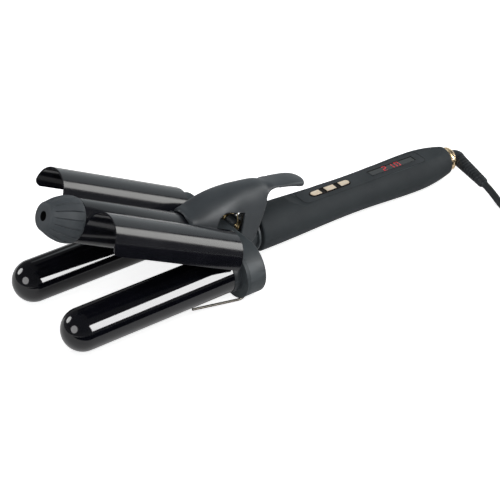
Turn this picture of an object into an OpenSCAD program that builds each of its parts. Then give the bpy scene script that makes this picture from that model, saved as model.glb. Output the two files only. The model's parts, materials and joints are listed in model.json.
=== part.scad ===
// Three-barrel hair waver: two outer barrels on a housing, and a hinged jaw that
// carries the centre barrel and two wings. Its thumb lever opens the jaw.
// +X runs from the barrel tips to the cord, +Y to the left barrel, +Z up.
// Modules are drawn in the tip frame, whose origin is level with the outer
// barrels' axes at their tips. seated() moves that frame onto the rest surface.

/* [Barrels] */
// Outside diameter of each of the three barrels
barrel_d = 32; // [29:0.5:35]
// Outer barrel from its round tip to its collar
barrel_len = 134.5; // [120:0.5:150]
// Wall of a barrel tube
barrel_wall = 1.6; // [1.2:0.1:2.4]
// Hair space between the centre barrel and an outer one, jaw shut
hair_gap = 3.5; // [2.5:0.1:5]
// Length of the heat collar at the root of an outer barrel
collar_len = 6.5; // [5:0.5:9]
// How far a collar stands proud of its barrel
collar_step = 0.5; // [0.3:0.1:0.6]
// Length of the heater in each barrel
heater_len = 96; // [60:1:98]
// Thickness of a ceramic heater tile
tile_t = 2.4; // [1.6:0.1:4]

/* [Housing] */
// Housing length from its front face to its rear face
yoke_len = 17; // [15:0.1:17.2]
// Housing wall around a barrel
yoke_wall = 5.3; // [4.6:0.1:5.5]
// How far each end of the housing stands out from its barrel's axis
yoke_out = 2; // [0:0.1:3]
// How far the housing's middle stands above the barrel axes
yoke_up = -0.6; // [-1:0.1:0.4]
// Rounding of the housing's rear edge
yoke_round = 1.5; // [0.5:0.1:3]
// Thickness of the plate that closes the front of the housing
plate_t = 3; // [2:0.1:4]
// Depth of the socket that holds a barrel, behind the plate
socket_len = 6; // [4:0.5:7]
// Radius of the neck between housing and handle
neck_r = 13; // [12:0.1:14]
// Radius of the thin rim in front of the handle
rim_r = 15.5; // [14.5:0.1:16.5]

/* [Jaw hinge] */
// Hinge pin behind the housing's front face
pin_back = 28.5; // [27:0.5:30]
// Hinge pin above the outer barrels' axes
pin_up = 10; // [9:0.1:11]
// Hinge pin diameter
pin_d = 5; // [4:0.1:5.6]
// Centre barrel axis below the hinge pin, square to the jaw
jaw_drop = 15.2; // [14.5:0.1:15.6]
// Angle of the open jaw
open_angle = 28.1; // [24:0.1:32]
// Gap between the jaw's rear end and the housing when shut
jaw_gap = 2; // [1.6:0.1:2.6]
// Spring coil mean radius about the pin
spring_r = 4.9; // [4.2:0.1:5.2]
// Spring wire diameter
spring_wire_d = 1.3; // [0.9:0.1:1.4]
// Spring turns on each side of the hinge lug
spring_turns = 4; // [3:1:4]

/* [Jaw] */
// Centre barrel length between the jaw's rear end and the cool tip
centre_len = 116.3; // [108:0.1:125]
// Length of the cool tip
tip_len = 25.2; // [20:0.1:30]
// Diameter of the cool tip's wide end
tip_root_d = 35.4; // [33:0.1:37]
// Diameter of the cool tip's front face
tip_face_d = 20; // [16:0.5:24]
// Diameter of the hole in the cool tip
tip_hole_d = 7; // [4:0.5:9]
// Number of flutes around the cool tip
tip_flutes = 16; // [12:1:20]
// Space between a wing and its outer barrel
wing_gap = 2; // [1.9:0.1:2.4]
// Thickness of a wing
wing_t = 1.1; // [1:0.1:1.4]
// Height of a wing's axis above the centre barrel's axis
wing_lift = 3.2; // [2.8:0.1:4]
// How much longer a wing is than the plain part of the centre barrel
wing_over = 1; // [0:0.5:3]
// Rounding of a wing's lower front corner
wing_round = 6; // [3:0.5:9]

/* [Lever] */
// Lever from the hinge pin forward to its nose
lever_nose = 54.5; // [53:0.5:57]
// Lever from the hinge pin back to the end of the thumb tab
lever_tail = 47; // [44:0.5:54]
// Height of the lever's back above the pin, over the ears
lever_h = 37.2; // [35:0.2:40]
// Largest half width of the lever, over the wings
lever_half_w = 18.2; // [17.6:0.1:18.6]
// Half width of the lever over its ears
ear_half_w = 15.7; // [15.5:0.1:16]
// Radius of the ears about the pin
ear_r = 12; // [11:0.1:12.4]
// Half width of the thumb tab
tab_half_w = 9.6; // [8:0.1:11]
// Thickness of the thumb tab
tab_t = 5.2; // [4:0.1:6.5]
// Wall of the lever shell
lever_wall = 2.1; // [1.6:0.1:2.2]
// Height of the arch that clears the housing, above the pin
arch_h = 15.5; // [14.6:0.1:17]
// Roundness of the nose in plan, as a radius
nose_round = 22; // [20:0.5:40]
// Sheet thickness of the jaw bracket
bracket_t = 1.4; // [1:0.1:1.5]

/* [Handle] */
// Handle shell length
handle_len = 193.5; // [184:0.5:205]
// Front of the handle behind the hinge pin
handle_back = 16.5; // [16:0.1:18]
// Handle axis below the outer barrels' axes at its front face
handle_low = 2.35; // [1.5:0.05:3.5]
// Downward tilt of the handle
handle_tilt = 1.83; // [1:0.01:2.5]
// Diameter at the front face
handle_front_d = 35; // [34:0.5:37]
// Diameter at the waist
handle_waist_d = 30; // [29.5:0.5:32]
// Diameter at the swell near the tail
handle_swell_d = 33; // [32:0.5:35]
// Diameter where the tail ring starts
handle_end_d = 24; // [22:0.5:26]
// Wall of the handle shells
handle_wall = 2.2; // [1.8:0.1:2.4]
// Height of the flat top above the handle axis
flat_h = 12.7; // [12.5:0.05:13]
// Length of the gold tail ring
ring_len = 7.5; // [6:0.5:10]
// Diameter of the gold tail ring
ring_d = 19.6; // [18:0.1:21]
// Diameter of the swivel stem
stem_d = 12; // [10:0.5:13]

/* [Controls] */
// Start of the control panel behind the handle's front face
panel_start = 45; // [44:0.5:46]
// Length of the control panel
panel_len = 123; // [121:0.5:126]
// Width of the control panel
panel_w = 18; // [17:0.1:19]
// Thickness of the control panel
panel_t = 1; // [0.8:0.1:1.1]
// First button's centre behind the panel's front end
key_start = 15.5; // [15:0.1:17]
// Distance from button to button
key_pitch = 14.1; // [13:0.1:14.6]
// Length of a button
key_len = 9; // [8:0.1:10]
// Width of a button
key_w = 5.6; // [5:0.1:6.2]
// How far a button stands above the panel
key_proud = 0.7; // [0.5:0.1:1.2]
// Rim of the button bezel around the buttons
bezel_rim = 1; // [0.8:0.1:1.4]
// Display window's centre behind the panel's front end
window_mid = 92.5; // [91:0.5:94]
// Length of the display window
window_len = 46; // [40:0.5:48]
// Width of the display window
window_w = 7.4; // [6:0.1:9]
// Width of the circuit board
board_w = 16; // [14:0.5:18]
// Height of the circuit board's underside above the handle axis
board_h = 3; // [2:0.1:3.4]

/* [Stand] */
// Wire diameter of the stand
stand_wire_d = 2; // [1.6:0.1:2.2]
// Distance of each stand leg from the middle
stand_leg_y = 44.7; // [43:0.1:45]
// Stand axle behind the housing's front face
stand_back = 11; // [10.5:0.1:12]
// Stand axle below the outer barrels' axes
stand_low = 16.6; // [16:0.1:17.6]
// Reach of a stand leg forward of its bend
stand_reach = 42; // [30:0.5:48]

/* [Cord] */
// Cord diameter
cord_d = 6; // [5:0.5:7]
// Radius of the innermost turn of the coil
coil_r = 24; // [24:0.5:26]
// Turns side by side in the coil
coil_wide = 3; // [2:1:3]
// Layers of turns in the coil
coil_high = 4; // [3:1:4]
// Plug body length with its relief
plug_len = 36; // [33:0.5:40]
// Plug body width across the pins
plug_w = 26; // [25:0.5:30]
// Plug body thickness
plug_t = 14; // [12:0.5:15]
// Plug pin diameter
prong_d = 4; // [4:0.05:4.1]
// Plug pin length
prong_len = 19; // [18.5:0.1:19.5]
// Distance between the plug pins
prong_pitch = 19; // [18.5:0.1:19.2]

/* [Hidden] */

$fn = 64;
eps = 0.01;
big = 200;
// Clearance of a fixed fit, of a free-moving piece, and of a shaft in its bore
fit = 0.15;
free = 0.35;
run = 0.06;

// Outer barrels and housing
barrel_r = barrel_d / 2;
bore_r = barrel_r - barrel_wall;
pitch_y = barrel_d + hair_gap;
yoke_x = barrel_len + collar_len;
yoke_r = barrel_r + yoke_wall;
socket_x = yoke_x + plate_t;
cavity_r = bore_r - 0.4;
cavity_end = yoke_x + yoke_len - 3.5;
plate_screw_y = 12;
plate_screw_z = -12;

// Hinge
pin_x = yoke_x + pin_back;
pin_r = pin_d / 2;
lug_half_w = 4.8;
lug_r = pin_r + 3.2;
bracket_in = 11.9;
bracket_out = bracket_in + bracket_t;
ear_in = bracket_out + fit;
pin_half = bracket_out;
spring_in = lug_half_w + free;
spring_out = bracket_in - free;

// Jaw, with x and z from the hinge pin, square to the centre barrel
jaw_rear = -(pin_back + jaw_gap);
tip_root = jaw_rear - centre_len;
tip_face = tip_root - tip_len;
wing_r = barrel_r + wing_gap + wing_t;
wing_z = wing_lift - jaw_drop;
wing_front = tip_root - wing_over;
wing_start = -8;
wing_sweep = 192;
saddle_front = -50;
pedestal_front = -44;
pedestal_half_w = 9.4;
shell_low = -4;
saddle_top = barrel_r - jaw_drop + 1.6;
web_x0 = -24;
web_x1 = -8;
web_mid = -16;

// Handle frame: x along the handle from its front face, z square to the flat top
handle_x = pin_x + handle_back;
swell_at = 0.82 * handle_len;
waist_at = 0.5 * handle_len;
tail_run = handle_len - swell_at;
rest_h = handle_low + swell_at * sin(handle_tilt) + handle_swell_d / 2 * cos(handle_tilt)
    + pow(tan(handle_tilt) * tail_run, 2) / (2 * (handle_swell_d - handle_end_d));
body_len = handle_x + (handle_len + ring_len) * cos(handle_tilt);
edge_round = 1.5;
cavity_front = 3.5;
cavity_back = handle_len - 5.5;
neck_len = 10;
sleeve_r = 3.8;
panel_floor = flat_h - panel_t;
roof_h = flat_h - handle_wall;
key_travel = 0.5;
key_floor = roof_h - 0.6;
board_t = 1.6;
board_start = panel_start - 1;
board_len = panel_len;
switch_h = 2.2;
screw_seat = 8;
screw_at = [panel_start + 4.5, panel_start + 59];
screw_r = 1.3;
stem_r = stem_d / 2;
stem_start = cavity_back - 6;
ball_r = stem_r - 0.3;
ball_at = handle_len + ring_len + 6.3;

// Stand
stand_r = stand_wire_d / 2;
stand_x = yoke_x + stand_back;
stand_bend_x = yoke_x + 2.5;
stand_bend_z = stand_r - rest_h;
stand_toe_z = -(barrel_r - 1.5);
stand_fold = 2;

// Cord route in the tip frame, from the strain relief to the coil
lie_z = cord_d / 2 - rest_h + 0.02;
cord_route = [[387.9, -41.6, -12.6], [387.4, -47, -13.6], [387.1, -52, -15.1], [386.8, -57, -17],
    [386.4, -62, -18.9], [386, -68, lie_z + 0.48], [385.7, -75, lie_z], [385.6, -84, lie_z],
    [386, -94, lie_z], [386.9, -103, lie_z], [388.3, -111, lie_z], [390.2, -119, lie_z],
    [392.2, -127, lie_z], [394, -134.6, lie_z], [395.6, -141.8, lie_z]];
coil_at = [359, -163, 0.02 - rest_h];
// From the coil's top to the plug that lies on it
coil_top = coil_high * cord_d + 0.02 - rest_h;
plug_z = coil_top + plug_t / 2 + 0.02;
tail_low = coil_top + cord_d / 2 + 0.02;
tail_route = [[339.5, -135.1, tail_low], [345.5, -129.6, tail_low],
    [352.5, -126.1, mix(tail_low, plug_z, 0.1)],
    [359.6, -126, mix(tail_low, plug_z, 0.3)], [366.5, -128.4, mix(tail_low, plug_z, 0.55)],
    [372.3, -133.2, mix(tail_low, plug_z, 0.8)], [375.6, -139.4, mix(tail_low, plug_z, 0.96)],
    [376.5, -144.6, plug_z], [376.5, -147.6, plug_z], [376.5, -148.6, plug_z]];

// ---------------------------------------------------------------- helpers

// From the tip frame to the seated frame
module seated() translate([-body_len / 2, 0, rest_h]) children();

// A cylinder along X from x0 to x1
module rod_x(r, x0, x1) translate([x0, 0, 0]) rotate([0, 90, 0]) cylinder(r = r, h = x1 - x0);

// A cylinder along Y from y0 to y1
module rod_y(r, y0, y1) translate([0, y1, 0]) rotate([90, 0, 0]) cylinder(r = r, h = y1 - y0);

// An XZ outline with thickness from y0 to y1
module slab_y(y0, y1) translate([0, y1, 0]) rotate([90, 0, 0]) linear_extrude(y1 - y0) children();

// Both sides of the middle plane
module both_sides() for (side = [-1, 1]) scale([1, side, 1]) children();

// Jaw parts, from the jaw's own frame to the tip frame, open
module on_jaw() translate([pin_x, 0, pin_up]) rotate([0, open_angle, 0]) children();

// Handle parts, from the handle frame to the tip frame
module on_handle() translate([handle_x, 0, -handle_low]) rotate([0, handle_tilt, 0]) children();

// A smooth open line through points, with steps to each span
function curve_at(a, b, c, d, t) = 0.5 * (2 * b + (c - a) * t + (2 * a - 5 * b + 4 * c - d) * t * t
    + (3 * b - a - 3 * c + d) * t * t * t);
function smooth_line(p, steps) = let (n = len(p) - 1) concat([for (i = [0 : n - 1], k = [0 : steps - 1])
    curve_at(p[max(i - 1, 0)], p[i], p[i + 1], p[min(i + 2, n)], k / steps)], [p[n]]);

// A solid through rings of equal count, closed at both ends
module loft(rings) {
    m = len(rings[0]);
    n = len(rings);
    points = [for (ring = rings, p = ring) p];
    sides = [for (i = [0 : n - 2], j = [0 : m - 1], half = [0, 1]) half == 0
        ? [i * m + j, (i + 1) * m + j, i * m + (j + 1) % m]
        : [i * m + (j + 1) % m, (i + 1) * m + j, (i + 1) * m + (j + 1) % m]];
    first = [for (j = [0 : m - 1]) j];
    last = [for (j = [m - 1 : -1 : 0]) (n - 1) * m + j];
    polyhedron(points, concat(sides, [first], [last]));
}

function unit(v) = v / norm(v);

// A round tube swept along points, with its rings square to the line
module sweep(line, r, sides) {
    n = len(line);
    up = [0, 0, 1];
    loft([for (i = [0 : n - 1])
        let (t = unit(line[min(i + 1, n - 1)] - line[max(i - 1, 0)]),
            a = unit(cross(up, t)), b = cross(t, a))
        [for (k = [0 : sides - 1]) line[i] + r * (cos(360 * k / sides) * a + sin(360 * k / sides) * b)]]);
}

// A pan-head screw along -Z, its head's underside at the origin
module screw(shank, r = screw_r) {
    cylinder(r = 2 * r, h = 1.6);
    translate([0, 0, -shank]) cylinder(r = r, h = shank + eps);
}

// ---------------------------------------------------------------- barrels

module barrel_tube(r, len) rotate([0, 90, 0]) rotate_extrude($fn = 96) intersection() {
    union() {
        translate([0, r]) circle(r, $fn = 96);
        translate([-r, r]) square([2 * r, len - r]);
    }
    square([r, len]);
}

module outer_barrel(side) color("#16171a") translate([0, side * pitch_y, 0]) difference() {
    barrel_tube(barrel_r, socket_x + socket_len - fit);
    translate([barrel_wall, 0, 0]) barrel_tube(bore_r, socket_x + socket_len);
}

module barrel_collar(side) color("#2b2d31") translate([0, side * pitch_y, 0]) difference() {
    union() {
        rod_x(barrel_r + collar_step, barrel_len, yoke_x - 2);
        rod_x(barrel_r + collar_step / 2, barrel_len, yoke_x);
    }
    rod_x(barrel_r + eps, barrel_len - 1, yoke_x + 1);
}

// Two half-round aluminium shoes that press a row of ceramic tiles between them
module heater(start, len) color("#b9bcc0") difference() {
    rod_x(bore_r - fit, start, start + len);
    translate([start - 1, -bore_r, -tile_t / 2]) cube([len + 2, 2 * bore_r, tile_t]);
}

module tiles(start, len) color("#e8e4da") translate([start + 2, -bore_r / 2, -tile_t / 2])
    cube([len - 4, bore_r, tile_t]);

fuse_len = 9;
fuse_r = 1.9;
heater_x = yoke_x - heater_len - 12;
heater_jaw_x = tip_root + 9;
jaw_plug_len = 10;
jaw_fuse_room = 2.3;
heater_jaw_len = centre_len - (heater_jaw_x - tip_root) - fuse_len - jaw_plug_len - jaw_fuse_room;

module outer_heater(side) translate([0, side * pitch_y, 0]) {
    heater(heater_x, heater_len);
    tiles(heater_x, heater_len);
}

module centre_heater() on_jaw() translate([0, 0, -jaw_drop]) {
    heater(heater_jaw_x, heater_jaw_len);
    tiles(heater_jaw_x, heater_jaw_len);
}

module fuse() color("#d8d2c2") rod_x(fuse_r, 0, fuse_len);

module barrel_fuses() for (side = [-1, 1])
    translate([heater_x + heater_len, side * pitch_y, bore_r / 2]) fuse();

module jaw_fuse() on_jaw() translate([heater_jaw_x + heater_jaw_len, 0, bore_r / 2 - jaw_drop]) fuse();

// ---------------------------------------------------------------- housing

module yoke_body() hull() both_sides() translate([yoke_x, pitch_y + yoke_out, yoke_up]) rotate([0, 90, 0])
    rotate_extrude($fn = 64) polygon(concat([[0, 0], [yoke_r, 0]],
        [for (a = [0 : 22.5 : 90])
            [yoke_r - yoke_round * (1 - cos(a)), yoke_len - yoke_round * (1 - sin(a))]],
        [[0, yoke_len]]));

module yoke_housing() color("#42474b") difference() {
    union() {
        intersection() {
            yoke_body();
            translate([socket_x, -big, -big]) cube(2 * big);
        }
        on_handle() {
            rod_x(neck_r, cavity_end + 1 - handle_x, -1);
            rod_x(rim_r, -3.8, -2.2);
            rod_x(neck_r - 1, -2, cavity_front + neck_len);
            rod_x(neck_r + 0.8, cavity_front + fit, cavity_front + 2.5);
        }
        translate([pin_x, 0, pin_up]) {
            rod_y(lug_r, -lug_half_w, lug_half_w);
            translate([-lug_r, -lug_half_w, -pin_up]) cube([2 * lug_r, 2 * lug_half_w, pin_up]);
        }
    }
    barrel_sockets();
    housing_cavity();
    hinge_pockets();
    stand_slots();
    translate([pin_x, 0, pin_up]) rod_y(pin_r, -big, big);
    for (side = [-1, 1]) translate([0, side * plate_screw_y, plate_screw_z])
        rod_x(screw_r, socket_x - 1, socket_x + 8);
}

module barrel_sockets() both_sides() translate([0, pitch_y, 0]) {
    rod_x(barrel_r + eps, socket_x - 1, socket_x + socket_len);
    rod_x(cavity_r, socket_x, cavity_end);
}

// The wire way: across the housing behind the sockets, then down the neck
module housing_cavity() {
    translate([socket_x + socket_len + 0.5, -pitch_y, -9])
        cube([cavity_end - socket_x - socket_len - 0.5, 2 * pitch_y, 9]);
    on_handle() translate([0, 0, -4]) rod_x(sleeve_r + 0.3, -handle_back - 10, cavity_front + neck_len + 1);
}

// Room for the lever's ears, the bracket's arms and the spring
module hinge_pockets() both_sides() {
    translate([pin_x, 0, pin_up]) {
        rod_y(ear_r + free, bracket_in - free, ear_half_w + 0.7);
        rod_y(spring_r + spring_wire_d / 2 + free, lug_half_w, bracket_in);
        translate([-ear_r - 0.6, lug_half_w, -spring_r])
            cube([2 * ear_r + 1, ear_half_w + 0.7 - lug_half_w, big]);
        translate([-ear_r - 0.6, -eps, lug_r]) cube([2 * ear_r + 1, ear_half_w + 0.7, big]);
        translate([-ear_r - 0.6, -eps, -spring_r]) cube([ear_r + 0.6 - lug_r, lug_half_w + 1, big]);
    }
}

module stand_slots() {
    translate([stand_x, 0, -stand_low]) {
        rod_y(stand_r + run, -stand_leg_y, stand_leg_y);
        both_sides() translate([-9, stand_leg_y - stand_fold - free, -big])
            cube([14.3, big, big + stand_r + run]);
    }
}

module yoke_front_plate() color("#3c4145") difference() {
    intersection() {
        yoke_body();
        translate([yoke_x, -big, -big]) cube([plate_t, 2 * big, 2 * big]);
    }
    both_sides() {
        translate([0, pitch_y, 0]) rod_x(barrel_r + eps, yoke_x - 1, socket_x + 1);
        translate([0, plate_screw_y, plate_screw_z]) {
            rod_x(screw_r + fit, yoke_x - 1, socket_x + 1);
            rod_x(2 * screw_r + fit, yoke_x - 1, yoke_x + 1.6);
        }
    }
}

module yoke_screws() color("#8e9296") for (side = [-1, 1])
    translate([yoke_x + 1.6, side * plate_screw_y, plate_screw_z]) rotate([0, -90, 0]) screw(8);

module hinge_pin() color("#9ea1a4") translate([pin_x, 0, pin_up]) rod_y(pin_r, -pin_half, pin_half);

// Double torsion spring: coils either side of the lug, legs under the bracket's web
module torsion_spring() color("#c9a86a") on_jaw() both_sides() {
    wind = 360 * spring_turns + 40;
    steps = 14 * spring_turns;
    rise = spring_out - spring_in - spring_wire_d;
    coil = [for (i = [0 : steps]) let (a = 200 + wind * i / steps)
        [spring_r * cos(a), spring_in + spring_wire_d / 2 + rise * i / steps, spring_r * sin(a)]];
    leg = [[-13, spring_out - spring_wire_d / 2, arch_h - spring_wire_d]];
    spring_line(concat(coil, leg));
}

// A sweep for lines that wind about Y
module spring_line(line) {
    n = len(line);
    loft([for (i = [0 : n - 1])
        let (t = unit(line[min(i + 1, n - 1)] - line[max(i - 1, 0)]),
            a = unit(cross([0, 1, 0], t)), b = cross(t, a))
        [for (k = [0 : 7]) line[i] + spring_wire_d / 2 * (cos(45 * k) * a + sin(45 * k) * b)]]);
}

// ---------------------------------------------------------------- stand

// One wire: an axle across the housing, with a leg folded under each outer barrel
module stand_wire() color("#b4b2aa") {
    translate([stand_x, 0, -stand_low]) rod_y(stand_r, stand_fold - stand_leg_y, stand_leg_y - stand_fold);
    both_sides() stand_leg();
}

module stand_leg() sweep(concat(
    [for (a = [0 : 15 : 90])
        [stand_x - stand_fold * (1 - cos(a)), stand_leg_y - stand_fold * (1 - sin(a)), -stand_low]],
    [[stand_bend_x + 3.5, stand_leg_y, stand_bend_z + 1.2],
    [stand_bend_x + 1.6, stand_leg_y, stand_bend_z + 0.2],
    [stand_bend_x, stand_leg_y, stand_bend_z], [stand_bend_x - 2, stand_leg_y, stand_bend_z + 0.25],
    [stand_bend_x - stand_reach, stand_leg_y, stand_toe_z]]), stand_r, 16);

// ---------------------------------------------------------------- jaw

module centre_barrel() color("#16171a") on_jaw() translate([0, 0, -jaw_drop]) difference() {
    rod_x(barrel_r, tip_root, jaw_rear - 2);
    rod_x(bore_r, tip_root - 1, jaw_rear);
}

module cool_tip() color("#2e3134") on_jaw() translate([0, 0, -jaw_drop]) difference() {
    union() {
        rotate([0, 90, 0]) rotate_extrude($fn = 96) polygon([[0, tip_face], [tip_face_d / 2 - 1.5, tip_face],
            [tip_face_d / 2, tip_face + 1.5], [tip_root_d / 2 - 2.2, tip_root - 8],
            [tip_root_d / 2 - 0.7, tip_root - 4.6], [tip_root_d / 2, tip_root - 2.2],
            [tip_root_d / 2, tip_root - 0.8], [tip_root_d / 2 - 0.8, tip_root], [0, tip_root]]);
        rod_x(bore_r - fit, tip_root - 1, tip_root + 8);
    }
    rod_x(tip_hole_d / 2, tip_face - 1, tip_face + 9);
    for (i = [0 : tip_flutes - 1]) rotate([360 * (i + 0.5) / tip_flutes, 0, 0]) flute();
}

// One broad shallow flute down the slope of the cool tip
flute_r = 8;
flute_depth = 0.5;
module flute() {
    slope = (tip_root_d - tip_face_d) / 2 - 2.2;
    run_len = tip_len - 9.5;
    translate([tip_face + 1.5, 0, tip_face_d / 2 + flute_r - flute_depth])
        rotate([0, -atan(slope / run_len), 0]) rod_x(flute_r, 1.5, run_len + 2);
}

module wing(side) color("#1d1e21") on_jaw() translate([0, 0, wing_z]) difference() {
    translate([0, side * pitch_y, 0]) scale([1, side, 1]) rotate([0, 90, 0]) rotate([0, 0, 90 + wing_start])
        translate([0, 0, wing_front]) wing_profile();
    wing_corner_cut();
}

// A part ring from wing_start to wing_start + wing_sweep, counted from the outer side upwards
module wing_profile() rotate_extrude(angle = wing_sweep, $fn = 96)
    translate([wing_r - wing_t, 0]) square([wing_t, jaw_rear - wing_front]);

module wing_corner_cut() {
    low = wing_r * sin(wing_start);
    slab_y(-big, -pitch_y) wing_corner(low);
    slab_y(pitch_y, big) wing_corner(low);
}

module wing_corner(low) difference() {
    translate([wing_front - 1, low - 1]) square(wing_round + 1);
    translate([wing_front + wing_round, low + wing_round]) circle(wing_round);
}

// Moulded block that plugs the rear of the centre barrel and ties the wings to it
module jaw_saddle() color("#2e3134") on_jaw() difference() {
    union() {
        translate([0, 0, -jaw_drop]) {
            rod_x(barrel_r, jaw_rear - 2, jaw_rear);
            rod_x(bore_r - fit, jaw_rear - jaw_plug_len, jaw_rear);
        }
        box_x(saddle_front, jaw_rear, lever_half_w - 0.7, wing_z, shell_low - fit);
        box_x(pedestal_front, jaw_rear, pedestal_half_w, wing_z, saddle_top);
    }
    translate([0, 0, -jaw_drop]) difference() {
        rod_x(barrel_r + fit, saddle_front - 1, jaw_rear - 2);
        rod_x(bore_r - fit, jaw_rear - jaw_plug_len, jaw_rear + 1);
    }
    both_sides() translate([0, pitch_y, wing_z]) rod_x(wing_r + fit, saddle_front - 1, jaw_rear + 1);
    translate([0, 0, -jaw_drop]) rod_x(5, jaw_rear - jaw_plug_len - 1, jaw_rear + 1);
}

// A box from x0 to x1 and z0 to z1, with its half width
module box_x(x0, x1, half_w, z0, z1) translate([x0, -half_w, z0]) cube([x1 - x0, 2 * half_w, z1 - z0]);

// Steel sheet bracket: a foot on the saddle, two arms over the housing to the pin, and a web
module jaw_bracket() color("#85898c") on_jaw() difference() {
    union() {
        both_sides() {
            slab_y(bracket_in, bracket_out) arm_outline();
            rod_y(pin_r + 2.6, bracket_in, bracket_out);
        }
        box_x(web_x0, web_x1, bracket_in + eps, arch_h, arch_h + bracket_t);
        box_x(pedestal_front + 0.5, jaw_rear - 0.5, pedestal_half_w - 0.4, saddle_top,
            saddle_top + bracket_t);
        box_x(jaw_rear - 6, jaw_rear - 0.5, bracket_in + eps, saddle_top, saddle_top + bracket_t);
    }
    rod_y(pin_r + run, -big, big);
    translate([web_mid, 0, 0]) cylinder(r = screw_r + fit, h = big);
}

module arm_outline() polygon([[jaw_rear - 6, saddle_top], [jaw_rear - 0.5, saddle_top],
    [jaw_rear + 1.5, arch_h - 1.5], [jaw_rear + 4.5, arch_h], [-9, arch_h], [-pin_r - 2, 0], [pin_r + 2, 0],
    [pin_r + 2.5, arch_h + 1],
    [web_x1, arch_h + bracket_t], [web_x0 - 2, arch_h + bracket_t], [jaw_rear - 3, arch_h - 5],
    [jaw_rear - 6, saddle_top + 3]]);

// ---------------------------------------------------------------- lever

// A closed ring across the lever: sides straight up from low to mid, rounded from mid to high
lever_sides = 40;
function sgn_pow(v, e) = sign(v) * pow(abs(v), e);
function ring_at(x, w, low, mid, high, e_top = 0.85, e_low = 0.12) = [for (k = [0 : lever_sides - 1])
    let (a = 360 * k / lever_sides, top = sin(a) >= 0)
    [x, w * sgn_pow(cos(a), top ? e_top : e_low),
        mid + (top ? high - mid : mid - low) * sgn_pow(sin(a), top ? e_top : e_low)]];

// Stations of the shell: share of the way from pin to nose, shares of the height and of the half width
shell_stations = [[1, 0.07, 0.604], [0.94, 0.125, 0.68], [0.88, 0.19, 0.74], [0.81, 0.305, 0.82],
    [0.734, 0.423, 0.885], [0.64, 0.535, 0.95], [0.55, 0.626, 0.995], [0.46, 0.706, 1.01], [0.367, 0.782, 1],
    [0.275, 0.848, 0.97], [0.184, 0.904, 0.93]];
skirt_low = -ear_r - 1.5;
arch_round = 9;
function shell_rings(wall) = [for (s = shell_stations)
    ring_at(-lever_nose * s[0] + (s[0] == 1 ? wall / 2 : 0), lever_half_w * s[2] - wall,
        skirt_low - wall, -3, lever_h * s[1] - (s[0] > 0.6 ? 1.25 : 1) * wall)];

// Stations over the ears: x, height above theirs, half width, squareness, lean to the rear at the foot
ear_stations = [[-4.5, -1.6, 0.3, 0.82, 0], [0.5, 0.1, 0.1, 0.8, 0.01], [4.4, 0.9, 0, 0.8, 0.03],
    [7.6, 1.4, -0.2, 0.82, 0.04], [10.3, 1.6, -0.5, 0.84, 0.05]];
function lean_ring(ring, lean) = [for (p = ring) [p[0] + lean * (lever_h - p[2]), p[1], p[2]]];
function ear_rings(wall) = [for (e = ear_stations) lean_ring(ring_at(e[0] - (e[0] > 0.7 * ear_r ? wall : 0),
    ear_half_w + e[2] - wall, skirt_low - wall, 0, lever_h + e[1] - wall, e[3]), e[4])];

// Stations of the tab: share of the way from ears to end, height of its back, half width, thickness
tab_stations = [[-0.029, 1.6, 1.2, 6.4], [-0.003, 1.7, 0.8, 3.6], [0.04, 2, 0.3, 0.9],
    [0.114, 2.6, 0.1, -0.6],
    [0.2, 3.2, 0, -1], [0.286, 4, 0, -1], [0.4, 5.2, 0, -0.6], [0.543, 6.6, 0, -0.1], [0.686, 7.4, 0.1, 0.2],
    [0.8, 7.6, 0, 0.2], [0.9, 7.3, -0.8, -0.1], [0.96, 6.8, -2.6, -0.6], [0.99, 6.3, -4.6, -1.3],
    [1, 5.9, -6.4, -2.2]];
function tab_rings() = [for (t = tab_stations) let (high = lever_h + t[1], thick = tab_t + t[3])
    ring_at(ear_r + t[0] * (lever_tail - ear_r), tab_half_w + t[2], high - thick, high - thick / 2,
        high, 0.9, 0.7)];

module lever_shell() color("#4a4f53") on_jaw() {
    difference() {
        intersection() {
            loft(concat(shell_rings(0), ear_rings(0), tab_rings()));
            union() {
                translate([nose_round - lever_nose, 0, -big])
                    cylinder(r = nose_round, h = 2 * big, $fn = 96);
                translate([nose_round - lever_nose, -big, -big]) cube(2 * big);
            }
        }
        difference() {
            loft(concat(shell_rings(lever_wall), ear_rings(lever_wall)));
            translate([web_mid, 0, arch_h + bracket_t]) cylinder(r = 3, h = big);
        }
        slab_y(-ear_in, ear_in) arch_outline();
        slab_y(-big, big) difference() {
            arch_outline();
            ear_outline();
        }
        translate([0, 0, -jaw_drop]) rod_x(barrel_r + free, -big, 0);
        both_sides() translate([0, pitch_y, wing_z]) rod_x(wing_r + free, -big, 0);
        both_sides() slab_y(bracket_in - fit, ear_in) offset(delta = fit) arm_outline();
        translate([web_mid, 0, 0]) cylinder(r = screw_r, h = arch_h + 8);
    }
}

// Side view of what is open below the shell and the arch
module arch_outline() polygon(concat([[-big, -big], [-big, shell_low], [jaw_rear - 1, shell_low]],
    [for (a = [180 : -15 : 90])
        [jaw_rear - 1 + arch_round * (1 + cos(a)), arch_h - 1.5 - arch_round * (1 - sin(a))]],
    [[-9.2, arch_h], [big / 2, arch_h], [big / 2, -big]]));

// Side view of an ear
module ear_outline() polygon(concat([[-9.2, arch_h + 1], [-4.9, 0], [-3.6, -7]],
    [for (a = [-92 : 8 : -4]) [ear_r * cos(a), ear_r * sin(a)]],
    [[ear_r, 0], [ear_r + 1, 0], [ear_r + 1, arch_h + 1]]));

module lever_screw() color("#8e9296") on_jaw() translate([web_mid, 0, arch_h]) rotate([180, 0, 0]) screw(7);

// ---------------------------------------------------------------- handle

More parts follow.
